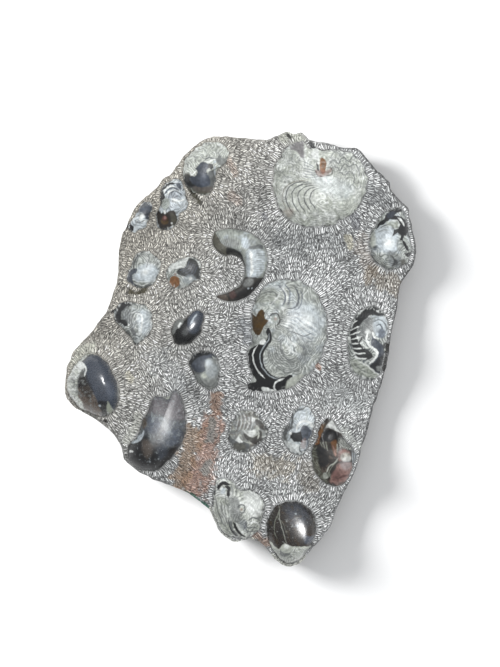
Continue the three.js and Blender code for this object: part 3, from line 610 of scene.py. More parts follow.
MARKINGS["orange_eye"] = "fog", [
    ("cloud chalk", 4, -0.1, 0.7, 0.6),
    ("sutures smoke chalk", 3, (-11, -10.5), 4, 0.75),
    ("patch chalk", [-16,1.5, -13,6.5, -5,10, 1,11, 0,5, -6,1.5, -12,0, -14.5,-3], 0.8, 0.7),
    ("line ash", 1.1, [-13.5,6, -8.5,7.5, -2.5,8.5], 0.8),
    ("patch jet", [0,6.5, 2.5,10.5, 6,10, 9.5,6, 11.5,0, 11.5,-8, 10.5,-11.5, 7,-9, 3.5,-6, 0,-7, -3.5,-5.5,
     -7,-4.5, -9.5,-2, -6,1, -2.5,1.5, 0,3], 0.5, 0.92, True),
    ("rows steel", 0.9, 5, [-6,-1, -0.5,1.5, 2.5,7.5], [2.5,-6, 6,-3.5, 9.5,3], 0.5),
    ("patch mist", [0,-5.5, 4.5,-4.5, 8,-8, 4.5,-12, -0.5,-12, -4,-9], 1.2, 0.7),
    ("spot chalk", (3, -7.5), 1.3, 1, 0.8),
    ("patch orange", [-13.5,-6, -10,-5.5, -7,-7, -6,-10.5, -7.5,-14, -10,-16, -13.5,-15.5, -15,-12, -14.5,-9],
     0.5, 0.95),
    ("spot umber", (-10, -11.5), 1, 1.2, 0.5),
    ("spot rose", (-10, -4), 1, 0.5, 0.6),
]
MARKINGS["whorl_crescent"] = "fog", [
    ("cloud ice", 4, 0, 0.8, 0.5),
    ("cloud smoke", 2, 0.3, 0.9, 0.45, 5),
    ("patch ash", [-9.5,22.5, -5.5,24.5, 4,23.5, 6.5,18.5, 0,16.5, -6,17.5], 1, 0.8),
    ("patch ice", [7.5,23.5, 12,25.5, 15.5,22, 14.5,16, 9.5,16.5], 1, 0.8),
    ("patch smoke", [14.5,17.5, 19.5,19, 25.5,19.5, 26.5,16, 20.5,15.5, 15.5,14.5], 0.5, 0.9),
    ("patch ash", [14.5,23.5, 22,24.5, 25.5,21, 20.5,19.5, 14.5,18.5], 1, 0.6),
    # The pale stretch is partly the calcite's own tone and partly painted highlight; the chalk line after it
    # is a painted highlight along the crest.
    ("patch ice", [12.5,14, 22,15, 27.5,13.5, 27.5,-0.5, 22,-9, 13.5,-9, 12,3], 1, 0.7),
    ("line chalk", 2.6, [16,13.5, 16.5,4.5, 17,-2, 16,-7.5], 0.9),
    ("rows ash", 0.8, 12, [20.5,13.5, 29,14], [20.5,-8, 27.5,-7.5], 0.6),
    # Painted shadow: the shade along the inner side of the blunt end.
    ("patch olive", [-15,30.5, -12,25.5, -8,19.5, -3.5,16.5, -2,10.5, -7,10, -12,13.5, -17.5,20, -16.5,26],
     0.6, 0.95),
    # Painted shade: the inner wall of the blunt end, turned from the light.
    ("patch jet", [-4.5,16.5, 0.5,16, 6,13.5, 9.5,8, 11,0.5, 9.5,-0.5, 6.5,7.5, 1.5,10.5, -4.5,11.5], 0.6,
     0.95),
    ("patch coffee", [10,-10, 12.5,-8.5, 25.5,-9, 29,-8, 25.5,-17.5, 15.5,-27, 6.5,-30.5, -2,-30.5, -9,-29.5,
     -14,-25.5, -9,-23, -1,-19.5, 6,-17], 0.6, 0.95),
    ("patch jet", [6.5,-20.5, 15.5,-16, 22,-11.5, 26.5,-11, 22,-20.5, 13.5,-27, 5,-29, 1.5,-25.5], 1, 0.8),
    ("patch ash", [11,-11, 15.5,-9.5, 18.5,-11, 17,-15, 12,-17, 9.5,-15], 1.2, 0.7),
    ("patch bark", [-13,-25, -6,-23.5, -3.5,-28, -9,-29.5], 0.8, 0.8),
    ("patch oxblood", [-3,-21, 1.5,-19.5, 3.5,-25.5, -1,-27], 1.2, 0.5),
    ("spot ice", (13.5, -18), 0.7, 0.4),
    ("spot ice", (17, -18), 0.6, 0.4),
]
MARKINGS["great_top"] = "cream", [
    ("cloud chalk", 8, -0.3, 0.8, 0.7),
    ("cloud chalk", 3, 0.1, 0.9, 0.5, 3),
    ("cloud sage", 5, 0, 0.9, 0.5, 5),
    ("cloud smoke", 1.8, 0.3, 0.9, 0.45, 9),
    ("sutures fog chalk", 3.2, (-2, 18), 4, 0.75),
    # Partly painted highlight: the soft pale-blue glow right of the middle.
    ("patch ice", [-10.5,13, 5,13, 24,4.5, 18,-6, 1,-2.5, -8.5,2.5], 4, 0.35),
    ("waves smoke", 3.2, 0.8, [5,30, 22.5,32, 34.5,21.5, 35,6, 22.5,1, 10.5,9.5, 5,18], (5, 18), 0.6, 7, 1.3),
    ("line smoke", 1.3, [3.5,22.5, 6,26, 8.5,27.5, 10.5,25, 12,24, 13.5,27.5, 16.5,30, 19,27.5, 21.5,26.5,
     24,31, 28.5,31, 32,26.5, 33.5,20.5], 0.75),
    ("line smoke", 1.2, [5,19, 7.5,21.5, 10.5,20.5, 13,18, 15.5,22.5, 18,24, 20.5,21.5, 23,22.5, 26.5,24,
     29,20, 30,14], 0.7),
    ("line smoke", 1.2, [9.5,14, 13.5,16.5, 17,14.5, 20.5,17, 24,16.5, 25.5,11, 24,5], 0.6),
    ("line smoke", 1.2, [5,29.5, 7.5,33.5, 11,36, 13.5,34.5, 13.5,31, 17,33.5, 19.5,37, 23,35.5], 0.7),
    ("line ash", 1, [1,34.5, 7.5,36, 15.5,32.5, 22.5,35.5], 0.7),
    ("waves smoke", 3, 0.9, [-43,32, -32.5,40.5, -20.5,30, -15.5,21.5, -24,9.5, -39.5,8, -45,20], (-29.5, 18),
     0.5, 5, 1.6),
    ("waves smoke", 3, 0.8, [-18,-17, -2,-13.5, 10.5,-17, 7,-24, -10.5,-26], (-5, -18), 0.35, 5, 1.6),
    ("spot chalk", (-8.5, -19), 2, 1, 0.5),
    ("spot chalk", (1, -18), 1.8, 1, 0.5),
    ("spot chalk", (7.5, -20), 2, 1, 0.5),
    ("patch cream", [-29.5,6, -12,8, -5,1, -10.5,-14.5, -26,-16.5, -32.5,-6], 3, 0.5),
    ("rows smoke", 0.95, 5, [-10.5,8, -22.5,8, -31,3.5, -33,-5, -30,-13.5, -25,-20.5], [-4.5,3, -9.5,1,
     -12.5,-3.5, -12,-8.5, -7,-15.5], 0.95),
    ("line umber", 0.8, [-14,10, -27.5,8, -34.5,2.5, -36,-6, -32.5,-14.5], 0.6),
    ("patch mauve", [-28.5,44, -21.5,46.5, -17.5,43, -17.5,28.5, -20.5,30, -24,35.5, -29.5,37], 0.8, 0.85,
     True),
    ("line cream", 1.6, [-15.5,44, -14.5,35.5, -15.5,28.5], 0.8),
    ("rows steel", 0.8, 6, [-18,26, -14,24, -8.5,20.5], [-18,13, -12,12, -5,13], 0.6),
    ("patch chalk", [-11,32.5, -8.5,36, -5,33.5, -4.5,28.5, -8.5,27.5], 0.8, 0.9),
    ("patch orange", [-3.5,28.5, -1,29, 1,26, 1.5,21.5, 0,16.5, -2.5,15.5, -4.5,21.5], 0.6, 0.95),
    ("patch umber", [-3,28.5, -1,28.5, 1,23, -1,20, -3,22.5], 1, 0.5),
    ("patch rose", [-8,18, -4.5,19, 1.5,18, 6,20.5, 5,16.5, 0,13, -5,14], 1, 0.6),
    ("line jet", 1.4, [-7,25, -6,21.5, -5.5,18], 0.8),
    ("line coffee", 1.3, [1,20.5, 6,20, 6,15.5, 1,13], 0.6),
    ("line oxblood", 1.3, [-8,18, -6,14, -2,12.5], 0.6),
    ("patch jet", [-40.5,-13, -37,-14, -34.5,-18, -37,-17.5], 0.5, 0.9, True),
    ("patch rose", [-35.5,-17, -31,-13.5, -26,-15.5, -29.5,-21.5], 2, 0.3),
]
MARKINGS["right_shoulder"] = "fog", [
    ("cloud ice", 5, -0.2, 0.7, 0.7),
    ("cloud smoke", 2, 0.2, 0.9, 0.5, 9),
    ("sutures smoke chalk", 3, (2, 4), 4, 0.75),
    ("patch ice", [-10,14.5, -0.5,18, 7,14.5, 9.5,7.5, 9,-1, 0.5,-4.5, -8.5,2.5], 2.5, 0.75),
    ("line smoke", 1, [-6,17, -1.5,19.5, 3.5,20.5, 6.5,17, 6.5,11], 0.85),
    ("line ash", 1, [-7.5,13.5, -1.5,16, 2,15.5], 0.7),
    ("patch cream", [-13.5,11, -10,14.5, -9,6, -11,0.5, -13.5,4], 1, 0.6),
    ("patch smoke", [12.5,33.5, 20,34.5, 22,25, 23.5,13, 20,9.5, 16.5,13, 17.5,21.5, 14,30], 0.8, 0.9),
    ("rows ash", 0.8, 4, [15.5,33.5, 20,31.5], [19,14.5, 22.5,13.5], 0.6),
    ("patch jet", [-8.5,16, -7.5,19.5, -6,22.5, -1.5,25.5, 0.5,30, 3.5,33, 9,35, 15.5,36, 17.5,34.5, 14,32,
     9.5,31, 7,28.5, 12.5,27.5, 16.5,25, 19,19.5, 19,14.5, 16.5,10.5, 15,11, 14,6.5, 11.5,6.5, 12.5,11,
     9.5,13, 4.5,10, 6.5,15.5, 10.5,17, 12,20.5, 9.5,24.5, 3.5,25, -0.5,22, -5,19.5], 0.4, 1, True),
    ("patch slate", [0.5,30, 3.5,31.5, 8,31.5, 6.5,27.5, 2,25.5], 0.8, 0.6),
    ("patch sage", [-0.5,22.5, 4.5,23.5, 9.5,22, 9,17, 5.5,18, 1,21], 0.8, 0.6),
    ("patch chalk", [9.5,26.5, 13,25, 15.5,21.5, 15.5,19, 12.5,23], 0.3, 0.95),
    ("line ash", 1.2, [10.5,6.5, 9,2.5, 10.5,-1, 14,-2], 0.7),
    ("line jet", 2.2, [14,6.5, 16.5,2.5, 19,-2]),
    ("patch jet", [15.5,-4.5, 19,-3.5, 22,-2.5, 24.5,-1.5, 26,-2.5, 25,-6, 19,-7], 0.4, 0.97),
    ("patch smoke", [0.5,-2.5, 7,-3.5, 12.5,-8, 16.5,-11.5, 14,-15.5, 7,-15, 2,-11.5], 1.5, 0.6),
    ("patch jet", [3.5,-6, 6.5,-8, 9.5,-10.5, 9.5,-14, 4.5,-15, 6.5,-11.5], 0.6, 0.8),
    ("patch olive", [13,-9.5, 16.5,-9.5, 16.5,-14, 13,-14], 0.8, 0.7),
    ("spot slate", (-9.5, 0), 1.6, 1, 0.7),
    ("line smoke", 0.9, [-13.5,-2.5, -10,-9.5, -3,-15, 5.5,-17.5], 0.7),
    # Painted highlight: the bright star on the dome.
    ("spot chalk", (2, 4), 3.5, 4, 0.8),
]
MARKINGS["great_centre"] = "fog", [
    ("cloud cream", 8, -0.1, 0.8, 0.6),
    ("cloud ice", 9, 0, 0.8, 0.6, 3),
    ("cloud smoke", 1.8, 0.3, 0.95, 0.5, 9),
    ("sutures ash chalk", 3.2, (-18, 8), 6, 0.8),
    ("patch ice", [-2.5,20, 13,21.5, 23,9.5, 21.5,-4, 7.5,-9.5, -4.5,1], 5, 0.6),
    ("rows steel", 0.9, 6, [-14,3.5, -5,-1, 1,-11, 11,-18], [-12,11, -1.5,14.5, 9.5,8, 20,2.5], 0.4),
    ("rows chalk", 1.2, 5, [-13,4.5, -2.5,0, 5,-9.5, 14.5,-14.5], [-10.5,9.5, 1,11, 10.5,5, 20,-1], 0.5),
    ("patch sage", [-33.5,25, -23,33.5, -16.5,32, -16.5,20, -28.5,14.5], 3, 0.35),
    ("line smoke", 1.2, [-26.5,31, -20,32, -15.5,28.5, -17,24, -22.5,21.5], 0.7),
    ("line steel", 1.3, [-14.5,38, -10.5,33.5, -8.5,26.5, -11,20], 0.8),
    ("line steel", 1.2, [-9.5,39, -5,32.5, -5,25, -7,20], 0.7),
    ("line slate", 1.5, [0,36, 2.5,30, 2.5,23.5, -1,18, -7.5,17.5], 0.8),
    ("line steel", 1, [4.5,33.5, 6,26.5, 3.5,19, -1.5,15.5], 0.7),
    ("line chalk", 1.4, [-12,36, -7.5,30, -7.5,22.5], 0.7),
    ("line chalk", 1.4, [-21.5,20.5, -16.5,25, -13,32], 0.6),
    ("line smoke", 1.1, [-6,-1, 1,-4, 7,-6, 14,-3.5], 0.75),
    ("line smoke", 1, [-7.5,-3.5, -3.5,-10.5, -1,-18, -3.5,-23], 0.7),
    ("line chalk", 2, [-7,-7.5, -3.5,-12, 1.5,-14.5], 0.75),
    ("line chalk", 1.8, [-9.5,-10.5, -4.5,-18, 2.5,-21.5], 0.7),
    ("line smoke", 1.1, [-13,-8.5, -12,-18, -7.5,-25.5, -1.5,-28.5], 0.75),
    ("rows smoke", 0.9, 8, [-25,-15.5, -20,-29, -7.5,-37, 6,-32.5, 16.5,-18], [-12,-9.5, -10.5,-19.5,
     -4.5,-25.5, 4.5,-22.5, 7.5,-11], 0.65),
    ("patch steel", [6,-6, 14.5,-7.5, 19,-16.5, 11,-20.5, 5,-13.5], 4, 0.3),
    # Painted highlight: the soft bright spot right of the middle.
    ("spot chalk", (10.5, 8), 4.5, 5, 0.6),
    ("patch jet", [-23,1, -20.5,-3.5, -20,-9.5, -23,-13.5, -26.5,-19, -27.5,-25, -26,-32, -21.5,-38,
     -16.5,-41, -9.5,-41, -4.5,-39, -2.5,-40.5, -6,-44, -6,-50.5, -13,-54, -28.5,-55, -40.5,-51.5, -40.5,-47,
     -33.5,-44.5, -37,-38.5, -40.5,-32, -40.5,-22.5, -38.5,-17, -32,-13.5, -27.5,-12, -24,-7.5, -25,-2.5],
     0.35),
    ("line chalk", 1.3, [-32,-14, -35.5,-19, -36,-24, -34.5,-31, -31,-37, -26,-42]),
    ("line mist", 1.1, [-22.5,-4, -23,-9.5, -27.5,-15.5, -30,-21.5, -29.5,-28.5, -26.5,-35, -20.5,-41,
     -13,-43]),
    ("line chalk", 1.5, [-9.5,-42, -14.5,-44, -17.5,-47, -18,-50.5, -15.5,-53.5]),
    ("patch chalk", [-29,-50, -24,-50, -19,-52, -17,-53.5, -26.5,-54.5]),
    ("patch cream", [-8.5,-52.5, -7,-44.5, -1.5,-40.5, 6,-38.5, 9.5,-43, 1.5,-49, -4.5,-52.5], 0.8, 0.9),
    ("patch chalk", [-31,-12, -27.5,-8, -25,-11, -27.5,-13.5], 0.4, 0.95),
    ("patch umber", [-38,14.5, -35.5,12, -33.5,11, -32,14.5, -28.5,17, -26,14, -26,9.5, -23,7, -26,3.5,
     -28.5,-1, -31,-5.5, -34.5,-3.5, -37.5,2.5, -38,8.5]),
    ("spot fog", (-17.5, 8.5), 3.2, 0.8, 0.9),
    ("spot chalk", (-16.5, 10), 1, 0.5, 0.8),
    ("line coffee", 1.3, [-22.5,9.5, -20,12.5, -15.5,13, -13.5,9.5, -14,5, -17,3], 0.75),
    ("spot rose", (-17, 8.5), 1.4, 0.8, 0.5),
]
MARKINGS["right_edge"] = "fog", [
    ("cloud chalk", 3, 0, 0.7, 0.6),
    ("cloud smoke", 1.8, 0, 0.8, 0.65, 9),
    ("sutures slate chalk", 3, (1.5, 10), 6, 0.85),
    ("patch ash", [-10,17, -3,19.5, 3,18.5, 4,10, -0.5,1.5, -7,1.5, -10.5,8], 1, 0.85),
    ("waves smoke", 2.6, 1.2, [-10,17, 3,19.5, 5.5,10, -0.5,0.5, -8,0.5, -10.5,8], (-2, 8), 0.8, 6, 1.2),
    ("spot chalk", (-2, 6.5), 2, 1.5, 0.7),
    ("patch jet", [-5.5,24.5, -1,27, 5,29, 11,27, 13.5,23, 11,19.5, 7.5,20, 1.5,21, -3,18.5, -7,14, -10,11.5,
     -11.5,17, -9,21], 0.5, 0.95),
    ("line mist", 1.3, [0.5,19, 4,20, 8,19], 0.9),
    ("patch jet", [-11.5,17, -10,12.5, -11.5,5.5, -10,-1.5, -5.5,-6.5, 0.5,-10.5, 2,-15, -3,-17.5, -10,-15,
     -14,-9, -16,-1.5, -16,8], 0.6, 0.95),
    ("rows chalk", 1.1, 8, [-10.5,16, -15,13.5, -17.5,11.5], [-2,-16, -8,-16.5, -13.5,-15], 0.95),
    ("patch ice", [5,18.5, 12.5,19.5, 16,12.5, 15,5, 9,1.5, 4,5.5, 3,13.5], 1.5, 0.8),
    ("patch steel", [8,9, 13.5,7.5, 12.5,2, 7.5,2], 1, 0.85),
    ("line smoke", 1.2, [2,15, 9,17, 14.5,11.5, 13.5,5.5], 0.8),
    ("line slate", 1.2, [5,11.5, 9,13, 11,8], 0.8),
    ("line chalk", 1.6, [2,6.5, 4,2, 7.5,0.5], 0.8),
    ("line chalk", 2, [-2,5.5, -3,0.5, -1,-4.5, 3,-8, 6.5,-11.5, 4,-16.5, -0.5,-21]),
    ("line chalk", 1, [-6.5,-0.5, -5.5,-4.5, -2,-7.5], 0.8),
    ("line jet", 1.4, [-6.5,2, -9,-3, -5.5,-9, -0.5,-13.5], 0.9),
    ("patch slate", [1.5,3, 5.5,-0.5, 11,-4.5, 14.5,-9, 16,-16, 12.5,-26, 9,-30.5, 3,-26, -0.5,-23, 4,-18.5,
     7.5,-12.5, 5.5,-8, 1.5,-4.5], 0.5, 0.97),
    ("patch jet", [11.5,-4, 17,-2, 17.5,-9, 15,-14, 12.5,-10], 0.6, 0.9),
    ("patch jet", [8,-15, 16,-13.5, 15,-23, 11.5,-29.5, 5.5,-27, 0.5,-23, 5.5,-18.5], 1, 0.9),
    ("patch ash", [5.5,-23.5, 10,-23, 11.5,-26, 7.5,-27], 0.8, 0.7),
    ("line cream", 1.2, [12.5,-8, 14,-11.5, 13.5,-15], 0.8),
    ("patch sage", [-16.5,-17.5, -10,-17.5, -2,-22, 4,-27, 10,-32, 4,-34, -6.5,-32, -14,-26], 0.8, 0.55),
    ("line chalk", 1.3, [-10.5,-18.5, -3,-22, 3,-27, 9,-30.5], 0.6),
    ("line smoke", 1, [-15,-26, -6.5,-32, 4,-34.5], 0.8),
    ("line smoke", 1, [-14,-20, -8,-25.5, -0.5,-29], 0.5),
]
MARKINGS["marbled_left"] = "fog", [
    ("cloud ice", 4, -0.1, 0.7, 0.5),
    ("cloud smoke", 1.8, 0, 0.8, 0.6, 9),
    ("sutures smoke chalk", 2.9, (4.5, -0.5), 3, 0.85),
    ("patch ash", [-11.5,12.5, -6.5,16, -1.5,14.5, -0.5,5, -5.5,1.5, -11,6.5], 1.5, 0.6),
    # Partly painted highlight: the bluish-white glow on the right.
    ("patch ice", [3,12.5, 11.5,12.5, 14,5, 12.5,-3, 6.5,-7, 3,-0.5], 2.5, 0.55),
    ("patch jet", [-19.5,12.5, -16,17, -11.5,20, -5.5,22, -2,19.5, -4,16.5, -8,14.5, -11,12, -11.5,7.5, -11,5,
     -7,5, -5.5,0.5, -8,-0.5, -11.5,2, -16.5,2, -17.5,6.5, -15,11.5], 0.5, 0.97),
    ("line ash", 1, [-5.5,17, -9,13.5, -11,8], 0.8),
    ("rows smoke", 1.1, 5, [-7.5,16, -10,11, -9,5], [1.5,12.5, -2,6.5, -1.5,-2], 0.85),
    ("line chalk", 1.6, [-3,11, 2,11, 6.5,7.5, 6.5,-0.5, 5.5,-7], 0.7),
    ("line smoke", 1.2, [-2,8, 0.5,11, 5.5,11], 0.8),
    ("waves smoke", 2.4, 0.9, [-3,6.5, 3,6.5, 4.5,-2, 3,-9, -2,-7, -5,-0.5], (1.5, -0.5), 0.7, 5, 1.4),
    ("patch smoke", [-3,-2, 0.5,-4, 1.5,-9, -1.5,-8], 0.6, 0.8),
    ("patch smoke", [-6.5,-5.5, -4,-4.5, -3,-10, -5,-10.5], 0.4, 0.9),
    ("patch jet", [-3,-12.5, -1.5,-13.5, 1.5,-14.5, 4,-15, 1.5,-17, -1.5,-16], 0.4, 0.9),
]
MARKINGS["teardrop"] = "jet", [
    ("patch slate", [0.5,12, 6,16.5, 12,15.5, 12,7, 8.5,-0.5, 3.5,-3, -1,0, -1,7], 1.5, 0.9),
    # The next two: painted sheen on the horn, then a painted highlight streak along it.
    ("patch steel", [0,11.5, 4,16.5, 8.5,16.5, 6,9, 0.5,3, -1,6], 1.2, 0.7),
    ("line ice", 1.6, [1.5,5.5, 4,10, 6.5,14], 0.85),
    ("patch ash", [-15,-3, -14,3.5, -10.5,9, -7,10, -4.5,8, -8,3, -10.5,1, -13,-3], 0.6, 0.9),
    ("patch chalk", [-10,3.5, -8,7, -6,6, -7.5,4.5, -9,2], 0.4, 0.9, True),
    ("patch smoke", [-6,-0.5, -2,1, -1,-3, -4.5,-5], 1, 0.5),
]
MARKINGS["snail"] = "ash", [
    ("cloud fog", 4, -0.2, 0.6, 0.5),
    ("cloud smoke", 1.6, 0.2, 0.9, 0.35, 9),
    ("patch slate", [-15,8.5, -11.5,12, -6.5,15, -0.5,16, 5.5,14.5, 9,10, 7.5,9.5, 3,10, 0.5,7.5, -0.5,3,
     0.5,0, -3,-2, -8,-2, -12.5,0.5, -14,4], 0.5, 0.95),
    ("patch jet", [-16,8, -10.5,12.5, -4.5,16, 1.5,16.5, 5.5,14, 1.5,12.5, -4.5,11, -10,7.5, -12.5,2.5,
     -10,-1, -13.5,0.5, -14,5], 0.6, 0.9),
    ("line smoke", 1, [-11.5,-1, -6.5,-3, -1.5,-1.5], 0.8),
    # Painted highlight: the bright spot on the dark cap.
    ("spot ice", (3, 6), 3, 2.2, 0.7),
    ("line cream", 1, [6,12, 8,9.5], 0.8),
    ("spot cream", (-1, -5), 2.1),
    ("patch mist", [1.5,3, 9,5, 11,-2, 5.5,-7, 0.5,-3.5], 1.5, 0.6),
    ("line smoke", 1.1, [-5.5,-5.5, -1.5,-11.5, 4,-14.5, 9,-10.5, 11,-4.5], 0.6),
]
MARKINGS["west_dome"] = "cream", [
    ("cloud chalk", 3, -0.1, 0.7, 0.7),
    ("sutures smoke chalk", 2.8, (-23.5, -1), 3, 0.6),
    ("patch bark", [-20,3, -14,5, -8.5,-3, -3.5,-13.5, 0,-23.5, -2.5,-31.5, -9.5,-30.5, -16.5,-24.5,
     -17.5,-16.5, -21,-11.5, -21,-4.5], 0.8, 1, True),
    ("patch coffee", [-21,3, -14.5,5.5, -9.5,-2, -8.5,-11.5, -13,-12.5, -19,-4.5], 1.5, 0.85),
    ("patch jet", [-18,10, -13,7.5, -11.5,-1, -16.5,-3, -21,-4, -21,2], 1, 0.8),
    ("cloud smoke", 1.8, 0.1, 0.8, 0.65, 9),
    ("cloud coffee", 1.4, 0.1, 0.8, 0.4, 13),
    ("cloud ash", 1.6, 0.1, 0.8, 0.6, 4),
    # The dark calcite, painted partly lighter as painted reflection.
    ("patch slate", [-18,18.5, -14.5,21, -11.5,24.5, -8,24.5, -2,22, 4,17, 8.5,9, 12,0.5, 13,-8, 13,-16.5,
     12,-23.5, 10,-24.5, 7,-20, 4.5,-16, 3.5,-19.5, -1,-18.5, -3.5,-17.5, -6,-11.5, -9.5,-4.5, -13,1.5,
     -14.5,8, -14.5,12.5, -15.5,16], 0.6, 1, True),
    ("line jet", 1.8, [-17.5,18, -14,21.5, -10.5,24], 0.7),
    ("line jet", 1.6, [-15.5,14, -14,7.5, -11.5,0.5, -7,-8], 0.6),
    ("line chalk", 1.4, [-17.5,17.5, -14.5,13.5, -14,10, -15,5.5], 0.9),
    ("patch chalk", [-21.5,18.5, -17.5,17.5, -15.5,13.5, -18,11.5, -21.5,14], 1, 0.7),
    ("patch sage", [4,-16.5, 5.5,-16.5, 7,-21, 8,-25.5, 4.5,-26, 3.5,-22], 0.4, 0.95),
    ("patch jet", [-3.5,-16.5, 3.5,-16, 3.5,-23.5, 3.5,-29.5, 0.5,-33, -3.5,-31.5, -1,-25.5], 0.8, 0.9),
    ("spot ice", (-2, -19.5), 1, 0.5, 0.8),
    # Painted sheen: the bluish reflection low on the dome.
    ("patch steel", [4,0.5, 9.5,-3, 11,-11.5, 7.5,-15, 3.5,-8], 2.5, 0.6),
]
MARKINGS["south_west_dome"] = "smoke", [
    ("cloud slate", 5, -0.2, 0.7, 0.7),
    ("cloud steel", 3, 0.2, 0.9, 0.5, 5),
    ("patch mauve", [-4.5,36.5, 3,40.5, 12,37, 18.5,45.5, 24.5,34.5, 26.5,22.5, 18.5,21, 5,26, -3.5,26], 2.5,
     0.85),
    # Painted sheen: slate-blue reflection across the middle.
    ("patch steel", [-3.5,24, 3,24, 5,14, -0.5,9, -5.5,14], 2.5, 0.7),
    ("patch steel", [10,10.5, 20.5,12, 24,5.5, 18.5,-1.5, 10,0], 3, 0.6),
    # Painted highlights: soft streaks along the dome.
    ("line mist", 5, [5,25, 9,18, 14.5,9.5], 0.35),
    ("line mist", 2.6, [-2,27.5, -0.5,23.5, -1,19], 0.6),
    ("specks ash", 1.4, 0.3, 0.5),
    ("cloud jet", 1.6, 0.1, 0.8, 0.35, 31),
    ("cloud mist", 1.5, 0.4, 0.9, 0.35, 37),
    ("patch jet", DARK_FOOT, 2),
    ("patch jet", DARK_FOOT, 4, 0.6),
    ("specks smoke", 2.2, 0.4, 0.5),
    ("patch bark", [-9,3.5, -3.5,3.5, -1,-5, -5.5,-12, -9.5,-5], 2, 0.55),
    ("patch slate", [3,-1.5, 10,-1.5, 12,-8.5, 5,-13.5], 2.5, 0.6),
    ("patch umber", [-10.5,21, -7,22.5, -6.5,16.5, -9.5,14], 1, 0.6),
    ("patch ice", [-20,2.5, -15.5,7, -10.5,9, -9.5,12, -8,11.5, -9.5,6, -13,2.5, -18.5,1], 0.5, 0.8),
    ("spot chalk", (-18.5, -6), 0.9, 0.4),
    ("spot mist", (-3.5, -14.5), 0.8, 0.5, 0.7),
    ("spot mist", (4, -12), 0.7, 0.4, 0.7),
    ("patch cream", [4,44, 7.5,48.5, 13.5,47.5, 14.5,42.5, 12.5,39, 9,39.5], 0.5, 0.95, True),
    ("spot chalk", (-20, -6), 1, 0.5),
    ("specks mist", 1.1, 0.3, 0.45),
]
MARKINGS["flat_cut"] = "ash", [
    ("cloud cream", 3, -0.1, 0.6, 0.7),
    ("cloud bark", 1.8, 0, 0.8, 0.6, 9),
    ("rows chalk", 1.1, 5, [-8.5,15, -7,9, -9.5,1], [3.5,17.5, 6,9, 3.5,1], 0.5),
    ("rows bark", 1.1, 4, [-6,14, -5.5,9, -8,1], [1.5,16.5, 4,9, 1.5,1], 0.6),
    ("waves smoke", 2.4, 0.8, [-12,13, -5.5,18.5, 3.5,17.5, 6,8, 1.5,0.5, -10.5,0.5], (8.5, -0.5), 0.5, 5,
     1.4),
    ("patch olive", [0,16, 5,18.5, 10,15, 9.5,11.5, 5,12.5, 0.5,13], 0.6, 0.7),
    ("line cream", 1.2, [4,18.5, 9.5,16, 13,11.5], 0.8),
    ("patch chalk", [-2,1, 3.5,0.5, 7.5,2, 7.5,-2, 4,-5, 0.5,-3], 0.6, 0.6),
    ("spot chalk", (6.5, 10), 1.5, 0.6, 0.8),
    ("patch smoke", [-16.5,-0.5, -15,0.5, -13,-5, -7,-8.5, -2,-8.5, 2.5,-10, 2.5,-14.5, -2,-18.5, -8.5,-19.5,
     -14,-14.5, -16.5,-7.5], 0.5),
    ("cloud smoke", 2, 0, 0.7, 0.25, 5),
    ("patch olive", [-10.5,-10, -2.5,-10, 0,-14.5, -5.5,-17, -10.5,-15], 1.5, 0.6),
    ("line coffee", 1.8, [-15,-0.5, -15,-8.5, -11.5,-15, -7,-19, -1,-17.5], 0.85),
    ("patch chalk", [-9.5,-7.5, -8,-5.5, -6.5,-4, -5.5,-6, -2.5,-9, -6,-10], 0.5, 0.95, True),
    ("line cream", 0.9, [-2.5,-8, 0.5,-9, 5,-10], 0.7),
    ("patch coffee", [-2.5,-0.5, 0.5,-3, 5,-5, 9.5,-3, 12,1, 13.5,-1.5, 13.5,-7.5, 12,-11, 8.5,-11.5,
     3.5,-8.5, -1,-5.5], 0.5, 0.85),
    ("patch coffee", [8,10.5, 11,10, 14.5,6.5, 18,1, 14.5,1, 10,4.5, 8,7], 0.5, 0.8),
    ("line cream", 1.1, [10,1, 11,-2, 9.5,-6.5], 0.85),
]
MARKINGS["small_hooked"] = "ice", [
    ("cloud fog", 3, 0, 0.7, 0.5),
    ("sutures ash chalk", 2.9, (4, 9), 3, 0.7),
    ("line smoke", 1.7, [-8,-0.5, -5.5,5.5, -5,12, -2,17, 3,18.5, 6.5,21], 0.95),
    ("patch coffee", [-15,0, -12.5,3.5, -7.5,6, -7.5,1, -10,-3, -10.5,-8.5, -15,-6.5], 0.8, 0.8),
    ("line chalk", 2, [-2,0, -0.5,5.5, 4,8, 9,7, 12.5,3], 0.9),
    ("patch slate", [1.5,1, 4,4.5, 8,3.5, 11,-0.5, 9,-6.5, 4.5,-8.5, 1.5,-5], 0.6, 0.95),
    ("patch steel", [9,0, 12.5,0, 12.5,-8.5, 9,-12, 7.5,-6.5], 0.8, 0.7),
    ("patch jet", [-6.5,-1.5, -1.5,-1.5, 2,0, 3,-6.5, 3,-10, -4.5,-9.5, -7.5,-6], 0.4, 0.97, True),
    ("spot chalk", (-7, -2.5), 1.4, 0.5),
    ("patch rose", [2,-9.5, 5.5,-6.5, 6.5,-13.5, 4,-16, 1.5,-13.5], 0.8, 0.4),
    ("line steel", 1.4, [7.5,-7.5, 7.5,-14.5, 4,-18.5], 0.7),
    ("patch chalk", [-12.5,-10, -7.5,-10, -0.5,-12, 1.5,-17, -2,-20.5, -9,-15.5], 1.2, 0.6),
    ("line smoke", 1.2, [0.5,-13.5, 1.5,-18, 4.5,-19.5], 0.8),
]
